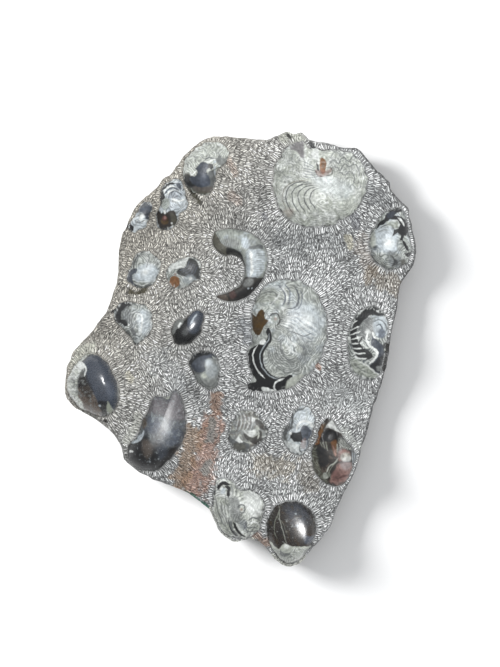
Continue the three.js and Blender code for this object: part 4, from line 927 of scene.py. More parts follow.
MARKINGS["hollow_brown"] = "coffee", [
    ("cloud bark", 3, 0.1, 0.9, 0.6),
    ("patch olive", [-25.5,13, -23,16.5, -20,8, -18.5,-2.5, -11.5,-14.5, -19.5,-13, -25.5,-4], 1.2, 0.9),
    ("waves sage", 2.4, 0.9, [-27,14.5, -21,16.5, -19.5,6, -17.5,-4, -11,-16, -20,-13, -27,-2.5], (-5.5, 8.5),
     0.55, 5, 1.4),
    ("patch orange", [-23,18, -22,27, -19.5,33, -16,35.5, -16,30, -18.5,23.5, -19.5,19], 0.8, 0.85),
    ("patch umber", [-19.5,32, -14,36, -15,30, -17.5,25], 0.8, 0.5),
    ("patch jet", [-17.5,21.5, -17,27.5, -12.5,30.5, -7.5,30, -2,26, -3,20.5, -7.5,20.5, -13.5,20.5], 0.6),
    ("rows sage", 0.8, 3, [-18.5,20.5, -17,15.5], [-14,20.5, -12.5,13], 0.6),
    ("patch jet", [-22,14.5, -17,16.5, -12.5,11.5, -11.5,2.5, -17.5,-1, -21,6], 1.2, 0.9),
    ("patch orange", [-9,20, -4.5,21.5, -4.5,14.5, -5.5,8, -8,13], 0.8, 0.55),
    ("line rose", 1.2, [-8,17.5, -6.5,13, -5.5,8], 0.7),
    ("line cream", 0.8, [-4,19, -4,13], 0.6),
    ("patch chalk", [-13.5,33, -9,39, -6.5,36, -2,30, 0.5,27, -5.5,30, -11,32.5], 0.6, 0.7),
    ("patch smoke", [-1.5,25, 4.5,20, 9,14, 3,14.5, -2,18], 0.8, 0.6),
    ("waves cream", 2.2, 0.9, [-3,24, 4.5,20, 10,13, 3,14, -3,16.5], (3, 21.5), 0.6, 5, 1.2),
    ("patch rose", [-3,12, 1.5,14.5, 6.5,11.5, 7.5,6, 0.5,3.5, -4,6], 1.2, 0.7),
    ("patch cream", [-1.5,8.5, 3,11.5, 7.5,9.5, 6.5,5.5, 0.5,4.5], 1.2, 0.6),
    # Painted highlight above the pink dome.
    ("patch chalk", [-0.5,5.5, 3,7.5, 7.5,8, 7.5,4.5, 2,3.5], 1, 0.5),
    ("patch rose", [-4.5,0, -1.5,2.5, 8,2.5, 9,-4, 8,-13, 4,-18, -4,-19, -10,-14.5, -9,-8.5, -6.5,-4], 1,
     0.9),
    ("patch mist", [-1.5,2.5, 6.5,3.5, 7.5,-1.5, 1.5,-3.5], 1.8, 0.4),
    ("patch oxblood", [-8,-5, -3,-3.5, -1.5,-9.5, -3,-13.5, -8,-12], 1.5, 0.6),
    ("line oxblood", 2, [-2,-10, 3,-8.5, 9,-8], 0.8),
    ("patch bark", [-1.5,-14.5, 7.5,-12, 8,-16, 1.5,-20.5, -4,-19], 1.2, 0.7),
    ("cloud coffee", 2.2, 0.3, 0.9, 0.4, 17),
    ("patch smoke", [8,13, 11.5,14, 14,8, 12.5,-1, 9,-2.5, 9,6], 1, 0.85),
    ("rows ice", 0.8, 3, [9,11.5, 10,1], [12.5,12, 13.5,2], 0.5),
    ("line cream", 1.1, [-3,7, -6.5,2.5, -11,-1, -13.5,-7], 0.65),
    ("line sage", 0.8, [-5.5,3.5, -9,-1.5, -11,-6, -9,-12], 0.5),
    ("patch cream", [-16,-7, -13.5,-6, -11.5,-9.5, -14,-12, -16,-11], 0.6, 0.8),
    ("spot sage", (-11, -7.5), 1.6, 0.8, 0.6),
    ("patch jet", [-9,-14.5, -6.5,-15.5, -4,-19.5, -8,-19.5], 0.6, 0.7),
]
MARKINGS["bottom_swirl"] = "cream", [
    ("cloud chalk", 4, -0.1, 0.7, 0.7),
    ("cloud smoke", 1.8, 0.1, 0.9, 0.6, 9),
    ("sutures smoke chalk", 3, (-4.5, 2), 4, 0.8),
    ("patch sage", [-27.5,11.5, -15.5,10, -11.5,2, -11.5,-12.5, -14,-23.5, -21,-17, -28.5,-3], 2, 0.4),
    ("rows chalk", 1.4, 4, [-23.5,9, -21,-1.5, -16.5,-11.5], [-14,5.5, -14,-3, -12,-10], 0.5),
    ("rows smoke", 0.9, 4, [-25,7.5, -23.5,-3, -19,-13.5], [-15.5,6.5, -15,-2, -14,-11.5], 0.45),
    ("patch ash", [-15,11.5, -7,11.5, -6,4, -4.5,-3, -5.5,-9, -11.5,-8, -14,1.5], 1.5, 0.75),
    ("waves smoke", 2.4, 0.9, [-15.5,12.5, -6,12.5, -4.5,-1.5, -4.5,-10, -12,-9, -15.5,2], (-7, 9), 0.6, 5,
     1.4),
    # Painted highlight: the smooth bluish-white glow.
    ("patch chalk", [-2.5,16, 8.5,16, 13.5,9, 13.5,-2, 5,-5, 0,2], 2.5, 0.6),
    ("line jet", 1.5, [-26.5,27, -27,19.5, -26.5,12.5], 0.9),
    ("line jet", 3, [-25,18, -22.5,22, -19,24, -14.5,23]),
    ("line jet", 2.8, [-18,21.5, -15,20, -15,16.5, -15.5,12.5]),
    ("patch ice", [-21.5,18.5, -18,20, -17.5,17.5, -18,15, -21.5,15], 0.8, 0.7),
    ("line ash", 1.2, [-13,23, -11.5,18.5, -12,14], 0.8),
    ("line smoke", 1.2, [-17.5,12.5, -17.5,8, -15,4], 0.7),
    ("line smoke", 2.2, [-13,-7.5, -13,-13.5, -10.5,-18.5, -6,-23], 0.9),
    ("line jet", 2, [-10.5,-9, -8.5,-15, -4.5,-20, 0,-22.5]),
    ("line jet", 1.1, [-15,-5.5, -14,-13.5, -9.5,-20, -2.5,-25.5], 0.8),
    ("line smoke", 1, [-26,10.5, -24,-0.5, -19,-11.5, -11.5,-22], 0.7),
    ("line smoke", 0.9, [-21,10, -20,-0.5, -15.5,-10, -10.5,-17], 0.55),
    ("line jet", 1, [-4.5,-23.5, -1,-26.5, 0.5,-23.5, -2.5,-21], 0.7),
    ("line chalk", 1.6, [-8,-10, -6,-15, -2,-19.5], 0.8),
    ("line smoke", 1.5, [1.5,-7.5, 6.5,-5, 12,-7.5], 0.8),
    ("line smoke", 1.5, [0,-8, 0.5,-13.5, 6,-13.5, 10,-15], 0.8),
    ("line smoke", 1.4, [-2.5,-11.5, 1.5,-17, 6.5,-17.5, 6.5,-22], 0.75),
    ("patch steel", [-5.5,-8, 0,-7.5, 0.5,-13.5, -2,-16, -5.5,-13.5], 1.5, 0.5),
    ("line chalk", 1.3, [2.5,-10, 7.5,-9, 11,-11.5], 0.8),
    ("line smoke", 1.2, [-7,3, -6,5.5, -2.5,6, -1,3, -2.5,-1, -6,-0.5], 0.85),
    ("spot cream", (-4, 2.5), 1.7, 0.8),
    ("spot rose", (-4, 2), 1.1, 0.8, 0.7),
]
MARKINGS["bottom_dome"] = "coffee", [
    ("patch slate", [-16.5,30.5, -10.5,32.5, -2,31.5, 4,24.5, 5,16, -2.5,12.5, -11.5,18], 3, 0.7),
    ("cloud jet", 4, 0, 0.8, 0.5, 3),
    ("specks ash", 1.5, 0.25, 0.7),
    ("cloud umber", 2.6, 0.2, 0.9, 0.3, 8),
    ("line sage", 0.55, [-20,30, -21.5,24, -24,18.5, -25,10, -22.5,2.5], 0.7),
    ("line cream", 0.5, [-21,26.5, -20,18, -17.5,9, -14.5,-0.5], 0.75),
    ("line sage", 0.45, [-23.5,22, -17.5,16, -14,6.5], 0.5),
    ("patch steel", [0,6.5, 6,5, 10,6, 9.5,-0.5, 1.5,-0.5], 1.2, 0.7),
    ("spot mist", (-6.5, 24), 0.8, 0.4),
    ("spot mist", (-5.5, 14.5), 1, 0.5),
    ("spot ash", (-14.5, 18), 0.8, 0.5),
    ("patch cream", [-34.5,2.5, -27.5,-0.5, -24,-4.5, -21,-6.5, -19,-3, -15.5,-0.5, -10.5,-3, -5.5,-3.5,
     0.5,-3, 11,-4.5, 8.5,-14, 0.5,-22, -9.5,-26, -21.5,-23.5, -33.5,-9.5], 0.5, 1, True),
    ("waves chalk", 2.6, 1, [-9.5,-4.5, 0.5,-4.5, 4,-11.5, -4.5,-18.5, -11.5,-13], (-4.5, -10.5), 0.8),
    ("waves smoke", 2.4, 0.8, [-32,-2, -20,-8, -11.5,-9.5, -4.5,-18.5, -16.5,-22], (-20, -13), 0.7),
    ("waves ash", 1.9, 0.9, [-33.5,-0.5, -20,-7, -4.5,-4.5, 10,-5.5, 7.5,-15, 0,-22.5, -10.5,-26,
     -22.5,-23.5], (-13, 35), 0.6, 7, 1.6),
    ("spot chalk", (-14.5, -3.5), 2.2, 1, 0.7),
    ("patch smoke", [-20,-6.5, -16.5,-9.5, -11.5,-9, -14,-12.5, -19,-12.5], 0.5, 0.8),
    ("patch smoke", [0.5,-6.5, 7,-7, 5,-13, 0,-13], 1, 0.5),
]


def shell_markings(name, x, y, middle):
    """The colour of each point of a shell."""
    base, marks = MARKINGS[name]
    seed = 100 + 10 * sorted(SEATS).index(name)
    marking = Marking(x, y, middle, base, seed)
    for what, *how in marks:
        kind, *tones = what.split()
        getattr(marking, kind)(*tones, *how)
    fine, coarse = DARK_GRAIN if name in DARK_SHELLS else PALE_GRAIN
    grain = fine * drift(x, y, 1.6, seed + 97) + coarse * drift(x, y, 3.1, seed + 98)
    return marking.colours * (1 + grain)[:, None]


# ---------------- meshes

WELD = 1e-4  # points closer than this are taken as one


def new_piece(name, points, faces, slots, sharp):
    """A mesh object from points in millimetres, with a material slot for each face."""
    mesh = bpy.data.meshes.new(name)
    mesh.from_pydata((np.asarray(points) * MM).tolist(), [], faces.tolist())
    mesh.polygons.foreach_set("material_index", np.asarray(slots, dtype=np.int32))
    mesh.polygons.foreach_set("use_smooth", ~sharp)
    mesh.update()
    piece = bpy.data.objects.new(name, mesh)
    bpy.context.scene.collection.objects.link(piece)
    return piece


def paint(piece, colours, on="POINT"):
    """Keeps the markings' colours on a piece: one for each point, or with CORNER one for each triangle."""
    layer = piece.data.attributes.new("markings", "FLOAT_COLOR", on)
    each = np.c_[np.clip(colours, 0, 1), np.ones(len(colours))]
    if on == "CORNER":
        each = np.repeat(each, 3, axis=0)
    layer.data.foreach_set("color", each.astype(np.float32).ravel())


def flat_map(piece, places):
    """The piece laid flat without overlaps, so that its finish can be kept as a picture of it."""
    layer = piece.data.uv_layers.new(name="OFBake")
    layer.data.foreach_set("uv", places.astype(np.float32).ravel())


def dress(piece, node, slot, *materials):
    """Gives a piece its materials and sets it in the place of its CAD node."""
    for material in materials:
        piece.data.materials.append(material)
    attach(piece, "root")
    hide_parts(node)


def band(upper, lower):
    """Triangles between two closed rings of points, facing out where the rings run anticlockwise."""
    next_upper, next_lower = np.roll(upper, -1), np.roll(lower, -1)
    return [np.c_[upper, lower, next_lower], np.c_[upper, next_lower, next_upper]]


def turned_up(points, faces):
    """Triangles wound so that they face upwards."""
    faces = np.array(faces)
    p = points[faces]
    area = np.cross(p[:, 1, :2] - p[:, 0, :2], p[:, 2, :2] - p[:, 0, :2])
    faces[area < 0] = faces[area < 0][:, ::-1]
    return faces


def filled(points, ids, ring):
    """Upward triangles within the outline that the first ring of these ids runs round, by way of the rest."""
    given = [Vector(p) for p in points[ids][:, :2]]
    _, _, found, sources, _, _ = delaunay_2d_cdt(given, [], [list(range(ring))], 1, WELD)
    order = [ids[source[0]] for source in sources]
    return turned_up(points, [[order[k] for k in face] for face in found])


# ---------------- chisel marks

MARK_CELL = 0.25  # spacing of the raster that keeps the marks apart
MARK_GAP = 0.32
MARK_WIDE = (0.44, 0.86)
MARK_LONG = (3.0, 7.5)
MARK_DEEP = 0.36
MARK_SHARES = (1, 0.65, 0.4)  # a mark that finds no room is tried again at these shares of its length
SHELL_CLEAR, EDGE_CLEAR = 0.35, 0.5  # the strips beside a shell and the slab's edge that stay uncut
FRINGE_PITCH = 1.5
FRINGE_GAP = 0.9
LOOSE_MARKS = ((2.6, 12000), (1.5, 14000), (1.0, 14000))  # (length, tries) of marks set into the gaps
REACH_WIDE, REACH_TALL = HALF_WIDE - 4, HALF_TALL - 4  # half of the field that loose marks are tried in
mark_x = np.arange(-HALF_WIDE, HALF_WIDE, MARK_CELL)
mark_y = np.arange(-HALF_TALL, HALF_TALL, MARK_CELL)
EDGE_FIELD = -outside_of(grid_x, grid_y, edge_line[::2])


def mark_direction(x, y):
    return 0.5 * np.arctan2(read(SINE_FIELD, x, y), read(COSINE_FIELD, x, y))


def mark_cells(x, y, angle, along, across):
    """The raster's cells under a bar of this half length and half width."""
    a = np.arange(-along, along + 0.1, MARK_CELL)[:, None]
    b = np.arange(-across, across + 0.1, MARK_CELL)[None, :]
    i = (x + a * math.cos(angle) - b * math.sin(angle) - mark_x[0]) / MARK_CELL
    j = (y + a * math.sin(angle) + b * math.cos(angle) - mark_y[0]) / MARK_CELL
    return np.clip(i, 0, len(mark_x) - 1).astype(int), np.clip(j, 0, len(mark_y) - 1).astype(int)


def in_the_gaps(taken, x, y):
    """Those of these places that no mark has taken."""
    i = ((x - mark_x[0]) / MARK_CELL).astype(int)
    j = ((y - mark_y[0]) / MARK_CELL).astype(int)
    free = ~taken[i, j]
    return x[free], y[free]


def place_chisel_marks():
    """The mason's marks: a fringe square to every shell, then row after row beside and beyond the last, which
    turn with the flow round the shells, and short ones in the gaps left over."""
    rng = np.random.default_rng(7)
    cells_x, cells_y = np.meshgrid(mark_x, mark_y, indexing="ij")
    taken = read(GAP_FIELD, cells_x, cells_y) < SHELL_CLEAR
    taken |= read(EDGE_FIELD, cells_x, cells_y) < EDGE_CLEAR
    marks = []

    def cut(x, y, angle, length, width):
        if taken[mark_cells(x, y, angle, length / 2 + 0.3 * MARK_GAP, width / 2 + MARK_GAP)].any():
            return False
        taken[mark_cells(x, y, angle, length / 2, width / 2)] = True
        marks.append((x, y, angle, length, width))
        return True

    for seat in SEATS.values():
        loop = flowing(seat["outline"][::2], FRINGE_PITCH, closed=True)
        for k, (x, y) in enumerate(loop):
            dx, dy = loop[(k + 1) % len(loop)] - loop[k - 1]
            out = math.atan2(-dx, dy) + rng.normal(0, 0.12)
            width = rng.uniform(*MARK_WIDE)
            full = 0.8 * seat["fringe"] * rng.uniform(0.5, 1.05)
            for share in MARK_SHARES:
                middle = FRINGE_GAP + share * full / 2
                if cut(x + middle * math.cos(out), y + middle * math.sin(out), out, share * full, width):
                    break
    done = 0
    while done < len(marks):
        x, y, angle, length, width = marks[done]
        done += 1
        c, s = math.cos(angle), math.sin(angle)
        # 1 and -1 are the places beside a mark, 2 and -2 those beyond its ends.
        for way in (1, -1, 2, -2):
            for full in rng.uniform(*MARK_LONG, 2):
                wide = rng.uniform(*MARK_WIDE)
                long = full if way in (1, -1) else 0.8 * full
                if abs(way) == 1:
                    side = way * ((width + wide) / 2 + MARK_GAP + rng.uniform(0.2, 0.45))
                    slip = rng.uniform(-0.45, 0.45) * length
                    at = (x - side * s + slip * c, y + side * c + slip * s)
                else:
                    reach = math.copysign((length + long) / 2 + MARK_GAP, way)
                    drop = rng.uniform(-0.8, 0.8)
                    at = (x + reach * c - drop * s, y + reach * s + drop * c)
                turn = float(mark_direction(*at)) + rng.normal(0, 0.22)
                if cut(*at, turn, long, wide) or cut(*at, turn, 0.55 * long, wide):
                    break
    for length, tries in LOOSE_MARKS:
        x = rng.uniform(-REACH_WIDE, REACH_WIDE, tries)
        y = rng.uniform(-REACH_TALL, REACH_TALL, tries)
        x, y = in_the_gaps(taken, x, y)
        angle = mark_direction(x, y) + rng.normal(0, 0.3, len(x))
        long = length * rng.uniform(0.8, 1.2, len(x))
        wide = rng.uniform(*MARK_WIDE, len(x))
        for mark in zip(x, y, angle, long, wide):
            cut(*mark)
    return np.array(marks), taken


marks, taken = place_chisel_marks()

# ---------------- stone colours

# Bruised marks, and the stone between them, from the warm left side to the cool right side.
MARK_LEFT, MARK_RIGHT = linear("#d6d2c8"), linear("#e9ebea")
GROUND_LEFT, GROUND_RIGHT = linear("#87837b"), linear("#7c7d7d")
MARK_BRIGHTNESS, GROUND_BRIGHTNESS = (0.7, 1.38), (0.3, 1.5)
DARKEST_STONE = 0.12  # a stain darker than this is bare shell, soil or painted shadow, the same on the marks and between them
SIDE_TONE, SEAT_TONE, BACK_TONE = linear("#6e6a63"), linear("#4c4a46"), linear("#77736c")
# Stains in the stone, and two painted shadows beside shells: (tone, half width, strength, line along its
# middle).
STAINS_AND_SHADOWS = [
    ("#94735d", 5, 0.65, [-20,-40, -22,-56, -27,-66]),
    ("#9f7a68", 11, 0.68, [-25,-66, -28,-80, -31,-96, -36,-108, -40,-118]),
    ("#8a735c", 8, 0.68, [-40,-72, -45,-92, -50,-108, -52,-116]),
    ("#8a8c89", 4.5, 0.8, [-24,-62, -24,-70, -26,-76]),
    ("#8a8c89", 4, 0.8, [-28,-98, -30,-105]),
    ("#8b6c58", 4, 0.6, [14,-160, 22,-166]),
    ("#b9bab2", 3, 0.8, [27,-178, 36,-186, 46,-187, 56,-181]),
    ("#b9bab2", 2.5, 0.7, [-27,-138, -20,-154, -12,-163, 0,-166, 11,-165]),
    ("#8f6650", 1.6, 0.6, [66,-14, 68,-17]),
    ("#8f7a66", 8, 0.25, [104,92, 108,76, 112,66]),
    ("#7d6f5a", 8, 0.45, [115,63, 126,57, 138,52]),
    ("#5f6264", 10, 0.3, [36,96, 60,93, 88,92]),
    ("#5f6264", 9, 0.35, [106,137, 122,126]),
    ("#65686a", 16, 0.25, [14,92, 42,82]),
    ("#b5a78f", 11, 0.3, [18,-100, 38,-102]),
    ("#7d705c", 9, 0.3, [56,-104, 63,-118]),
    ("#bcc0c0", 12, 0.25, [84,-42, 104,-46]),
    ("#b0b6ba", 13, 0.2, [-72,-10, -56,-30]),
    ("#9a7a68", 4, 0.3, [-9,160, -4,152]),
    ("#9a7a68", 4, 0.25, [-8,132, -2,126]),
    ("#c0bcaa", 3.5, 0.6, [93,96, 94,88]),
    ("#c0bcaa", 3, 0.5, [-97,-22, -94,-28]),
    ("#b9bbb0", 5, 0.6, [36,180, 44,184, 50,181]),
    ("#b9bab2", 4, 0.6, [-88,-58, -92,-68, -97,-78]),
    ("#b9bbb0", 5, 0.5, [-128,2, -137,-4, -143,-14]),
    ("#c2c5c0", 4, 0.5, [88,-70, 96,-78, 101,-84]),
    ("#5c5d66", 4, 0.5, [98,114, 99,106]),
    ("#5c5d66", 3, 0.5, [21,115, 22,113]),
    ("#7d8288", 6, 0.4, [4,22, 6,8]),
    # Painted shadow: the dark crescent of shade under the grey swirl.
    ("#4e4a3c", 2.2, 0.95, [-95,49, -88,48, -81,51]),
    # Painted shadow: the olive tail of shade below the corner dome.
    ("#3c3a2e", 2.2, 0.9, [-43,137, -38,130, -35,127]),
    ("#2a2a28", 1.4, 0.9, [41,184, 43,181]),
    ("#3a3b3c", 2.4, 0.9, [61,177, 63,172]),
    ("#161719", 2, 0.95, [-97,106, -94,103]),
    ("#2a2826", 1.6, 0.9, [-117,-62, -115,-63]),
    ("#161719", 1.2, 0.9, [-106,34, -111,32]),
    ("#2a2826", 1.8, 0.9, [127,3, 125,-8, 123.5,-18]),
    ("#33594c", 1.8, 0.9, [-47,-124, -38,-129, -29,-136]),
]


def stone_colours(x, y, marked):
    """What each facet of the worked face looks like."""
    across = eased(x - 0.6 * (y - 60), -150, 50)[:, None]
    mark = MARK_LEFT + across * (MARK_RIGHT - MARK_LEFT)
    ground = GROUND_LEFT + across * (GROUND_RIGHT - GROUND_LEFT)
    # The ground just beside each shell is painted paler, partly as painted light that lifts the shade of the
    # groove round it.
    beside = np.exp(-(np.maximum(read(GAP_FIELD, x, y), 0) / 1.2) ** 2)
    ground = ground * (1 + 0.4 * beside)[:, None]
    colours = np.where(marked[:, None], mark, ground)
    colours = colours * (1 + 0.20 * drift(x, y, 19, 31) + 0.20 * drift(x, y, 6, 32))[:, None]
    for code, half, strength, path in STAINS_AND_SHADOWS:
        tone = linear(code)
        away, _ = off_line(x, y, flowing(path, 3))
        away = away + 0.5 * half * drift(x, y, 5, 33) + 0.3 * half * drift(x, y, 2, 34)
        cover = strength * (1 - eased(away, 0.5 * half, 1.25 * half))
        paler = np.where(marked, 1.25, 0.85) if tone.max() > DARKEST_STONE else np.ones(len(x))
        colours += (tone * paler[:, None] - colours) * cover[:, None]
    return colours


def face_colours(x, y, which):
    """The face's facets, each a little brighter or darker than the next. By its edge it is painted paler,
    as painted light against the shade of the roll, most on the left, and darker as painted shade on the
    right."""
    rng = np.random.default_rng(23)
    marked = which >= 0
    mark_brightness = rng.uniform(*MARK_BRIGHTNESS, len(marks) + 1)
    ground_brightness = rng.uniform(*GROUND_BRIGHTNESS, len(which))
    colours = stone_colours(x, y, marked)
    colours *= np.where(marked, mark_brightness[which], ground_brightness)[:, None]
    edge = read(EDGE_FIELD, x, y)
    right = eased(x, 60, 120)
    # Painted light: every edge but the right one is painted paler where it rolls down, lifting its shade.
    painted_edge_light = 0.45 * (1 - right) * (1 - eased(edge, 0.3, 2.5))
    # Painted shade: the edge is painted darker where it turns down, most on the right.
    painted_edge_shade = (1 - eased(edge, 0.2 + 0.5 * right, 0.6 + 1.4 * right)) * (0.06 + 0.36 * right)
    return colours * (1 + painted_edge_light - painted_edge_shade)[:, None]


# ---------------- slab

SIDE_LEVELS = 11  # rings of points from the face's edge down to the back
RIM_SHARES = (0.997, 0.988, 0.972)  # rings just inside the edge, which keep its triangles small
CHIP_REACH = 150  # the chips out of the edge are set for a place this far from the middle
FACE_SPACING = 2.4  # of the free points between the marks
BACK_SPACING = 9
BACK_INSET = 4
BACK_WIDE, BACK_TALL = HALF_WIDE - 6, HALF_TALL - 6

# The flat map of the slab, from 0 to 1: the back in a band at the bottom, the seats above it, then the side
# in strips, and the face over the rest.
MAP_START, MAP_ACROSS = 0.005, 0.99
FACE_MAP, BACK_MAP = (0.105, 0.89), (0.004, 0.044)
SIDE_MAP_TOP, SIDE_MAP_STRIP = 0.097, 0.0038
SEAT_MAP = [(0.005, 0.052), (0.009, 0.052), (0.007, 0.055)]


def dent(x, y, angle, length, width, rng):
    """A chisel mark's six-sided outline, a little bent, and then the two points along its bottom."""
    half = width / 2 * rng.uniform(0.85, 1.15, 4)
    bend = 0.4 * width * rng.normal()
    local = [(-length / 2, -0.5 * bend), (-0.3 * length, -half[0] + bend),
             (0.3 * length, -half[1] + bend), (length / 2, -0.5 * bend),
             (0.3 * length, half[2] + bend), (-0.3 * length, half[3] + bend),
             (-0.26 * length, bend), (0.26 * length, bend)]
    c, s = math.cos(angle), math.sin(angle)
    return [(x + a * c - b * s, y + a * s + b * c) for a, b in local]


def slab_top():
    """The worked face: its points, its triangles, and which chisel mark each triangle belongs to. Then the
    numbers of the points round the slab's edge and round each seat."""
    rng = np.random.default_rng(19)
    points = []
    loops = []

    def add_loop(line):
        start = len(points)
        points.extend(map(tuple, line))
        loops.append(list(range(start, len(points))))

    x, y = edge_line.T
    chip = 0.4 * drift(x, y, 5, 41) + 0.3 * drift(np.arange(len(x)), 0, 1.3, 42)
    rim = np.array(SLAB_MIDDLE) + (edge_line - SLAB_MIDDLE) * (1 + chip / CHIP_REACH)[:, None]
    add_loop(rim)
    for seat in SEATS.values():
        add_loop(seat["outline"])
    first_mark = len(loops)
    deep = set()
    for mark in marks:
        *outline, first, last = dent(*mark, rng)
        add_loop(outline)
        deep.update((len(points), len(points) + 1))
        points.extend((first, last))
    for share in RIM_SHARES:
        ring = np.array(SLAB_MIDDLE) + share * (rim - SLAB_MIDDLE)
        points.extend(map(tuple, ring))
    free_x, free_y = np.meshgrid(np.arange(-REACH_WIDE, REACH_WIDE, FACE_SPACING),
                                 np.arange(-REACH_TALL, REACH_TALL, FACE_SPACING), indexing="ij")
    free_x = free_x.ravel() + rng.uniform(-0.5, 0.5, free_x.size)
    free_y = free_y.ravel() + rng.uniform(-0.5, 0.5, free_y.size)
    points.extend(zip(*in_the_gaps(taken, free_x, free_y)))
    flat, _, faces, sources, _, from_faces = delaunay_2d_cdt([Vector(p) for p in points], [], loops, 1, WELD)
    flat = np.array(flat)
    # Loop 0 is the slab's edge, the seats come next, and what lies in a seat isn't stone.
    inside, which = [], []
    for face, owners in zip(faces, from_faces):
        if 0 in owners and not any(1 <= owner < first_mark for owner in owners):
            inside.append(face)
            which.append(max(owners) - first_mark if max(owners) >= first_mark else -1)
    x, y = flat.T
    gap = read(GAP_FIELD, x, y)
    z = face_height(x, y) + 0.22 * drift(x, y, 2.3, 43) - 0.2 * np.exp(-(np.maximum(gap, 0) / 0.8) ** 2)
    bottom = np.array([not deep.isdisjoint(source) for source in sources])
    z[bottom] -= MARK_DEEP * rng.uniform(0.6, 1.3, bottom.sum())
    found = {source: k for k, given in enumerate(sources) for source in given}
    rim_ids = [found[k] for k in loops[0]]
    seat_ids = [[found[k] for k in loop] for loop in loops[1:first_mark]]
    return np.c_[flat, z], inside, np.array(which), rim_ids, seat_ids


def seen_from_above(corners, start, tall):
    """Where each triangle's corners lie in a band of the flat map, drawn as the slab is seen from above."""
    return np.stack([MAP_START + MAP_ACROSS * (corners[:, :, 0] + HALF_WIDE) / (2 * HALF_WIDE),
                     start + tall * (corners[:, :, 1] + HALF_TALL) / (2 * HALF_TALL)], -1)


class Skin:
    """The slab's surface as it grows: points, and triangles with their colours, slots and flat maps."""

    def __init__(self):
        self.points = np.zeros((0, 3))
        self.faces = []
        self.tones = []
        self.slots = []
        self.maps = []

    def add_points(self, points):
        """Takes in points and gives their numbers."""
        first = len(self.points)
        self.points = np.vstack([self.points, points])
        return np.arange(first, len(self.points))

    def add_faces(self, faces, tones, slot, places):
        self.faces.append(faces)
        self.tones.append(np.broadcast_to(tones, (len(faces), 3)))
        self.slots.append(np.full(len(faces), slot))
        self.maps.append(np.broadcast_to(places, (len(faces), 3, 2)))

    def add_side(self, upper):
        """The broken side, ring under ring from the face's edge. Gives the lowest ring, round the back."""
        rim = self.points[upper]
        n = len(rim)
        from_middle = rim[:, :2] - SLAB_MIDDLE
        out = from_middle / np.hypot(*from_middle.T)[:, None]
        run = np.arange(n) * EDGE_STEP
        here = MAP_START + MAP_ACROSS * np.arange(n) / n
        onward = MAP_START + MAP_ACROSS * np.arange(1, n + 1) / n
        for level in range(SIDE_LEVELS):
            down = (level + 1) / SIDE_LEVELS
            rough = 1.5 * drift(run, 23 * down, 7, 51) + 0.8 * drift(run, 23 * down, 2.6, 52)
            inward = SIDE_UNDERCUT * down ** 1.3 + math.sin(math.pi * down) * (1 + rough) + 0.4 * (1 + rough)
            ring = np.c_[rim[:, :2] - out * inward[:, None], rim[:, 2] * (1 - down)]
            if level + 1 < SIDE_LEVELS:
                ring[:, 2] += 0.5 * drift(run, 40 * down, 3, 53)
            lower = self.add_points(ring)
            shade = 0.9 + 0.35 * drift(np.tile(run, 2), 2.0 * level, 5, 54)
            high = np.full(n, SIDE_MAP_TOP - SIDE_MAP_STRIP * level)
            low = np.full(n, SIDE_MAP_TOP - SIDE_MAP_STRIP * (level + 1))
            first = np.stack([np.c_[here, high], np.c_[here, low], np.c_[onward, low]], 1)
            second = np.stack([np.c_[here, high], np.c_[onward, low], np.c_[onward, high]], 1)
            self.add_faces(np.concatenate(band(upper, lower)), SIDE_TONE * shade[:, None], 1,
                           np.concatenate([first, second]))
            upper = lower
        return lower

    def add_seat(self, rim):
        """A seat that a shell stands in: a wall down from the face, and a floor."""
        low = self.add_points(self.points[rim] - np.array([0, 0, SEAT_WALL]))
        next_rim, next_low = np.roll(rim, -1), np.roll(low, -1)
        wall = np.concatenate([np.c_[rim, next_rim, next_low], np.c_[rim, next_low, low]])
        for part in (wall, filled(self.points, low, len(low))):
            self.add_faces(part, SEAT_TONE, 1, SEAT_MAP)

    def add_back(self, outline):
        """The back, sawn flat."""
        grid = np.meshgrid(np.arange(-BACK_WIDE, BACK_WIDE, BACK_SPACING),
                           np.arange(-BACK_TALL, BACK_TALL, BACK_SPACING), indexing="ij")
        x, y = (side.ravel() for side in grid)
        inner = outside_of(x, y, self.points[outline][:, :2]) < -BACK_INSET
        middle = self.add_points(np.c_[x[inner], y[inner], np.zeros(inner.sum())])
        back = filled(self.points, np.concatenate([outline, middle]), len(outline))[:, ::-1]
        self.add_faces(back, BACK_TONE, 2, seen_from_above(self.points[back], *BACK_MAP))


def make_slab():
    """The slab in one closed mesh: the chiselled face, the broken side, the seats and the sawn back."""
    points, top, which, rim_ids, seat_ids = slab_top()
    top = turned_up(points, top)
    x, y, _ = points[top].mean(1).T
    skin = Skin()
    skin.add_points(points)
    skin.add_faces(top, face_colours(x, y, which), 0, seen_from_above(points[top], *FACE_MAP))
    lowest = skin.add_side(np.array(rim_ids))
    for seat in seat_ids:
        skin.add_seat(np.array(seat))
    skin.add_back(lowest)
    faces = np.concatenate(skin.faces)
    slab = new_piece("slab", skin.points, faces, np.concatenate(skin.slots), np.ones(len(faces), bool))
    paint(slab, np.concatenate(skin.tones), "CORNER")
    flat_map(slab, np.concatenate(skin.maps))
    return slab


# ---------------- shells

SHELL_WALL = 4.5  # how far a shell goes down into its seat
RIM_INSET = 0.12
DOME_EVENING = 0.5  # radians over which a dome's middle evens out the bays of its rim
DOME_UNEVEN = 0.3  # how far a dome strays from its smooth form, as hand polishing leaves it
RING_CLOSING = 1.25  # how much closer a dome's rings of points come towards its rim

# A shell's flat map, from 0 to 1: what shows is laid over most of it, and what is hidden in a strip below.
SHOWN_START, SHOWN_SIZE = np.array([0.01, 0.06]), np.array([0.98, 0.93])
HIDDEN_START, HIDDEN_ACROSS = 0.01, 0.97
HIDDEN_LOW, HIDDEN_HIGH = 0.01, 0.045


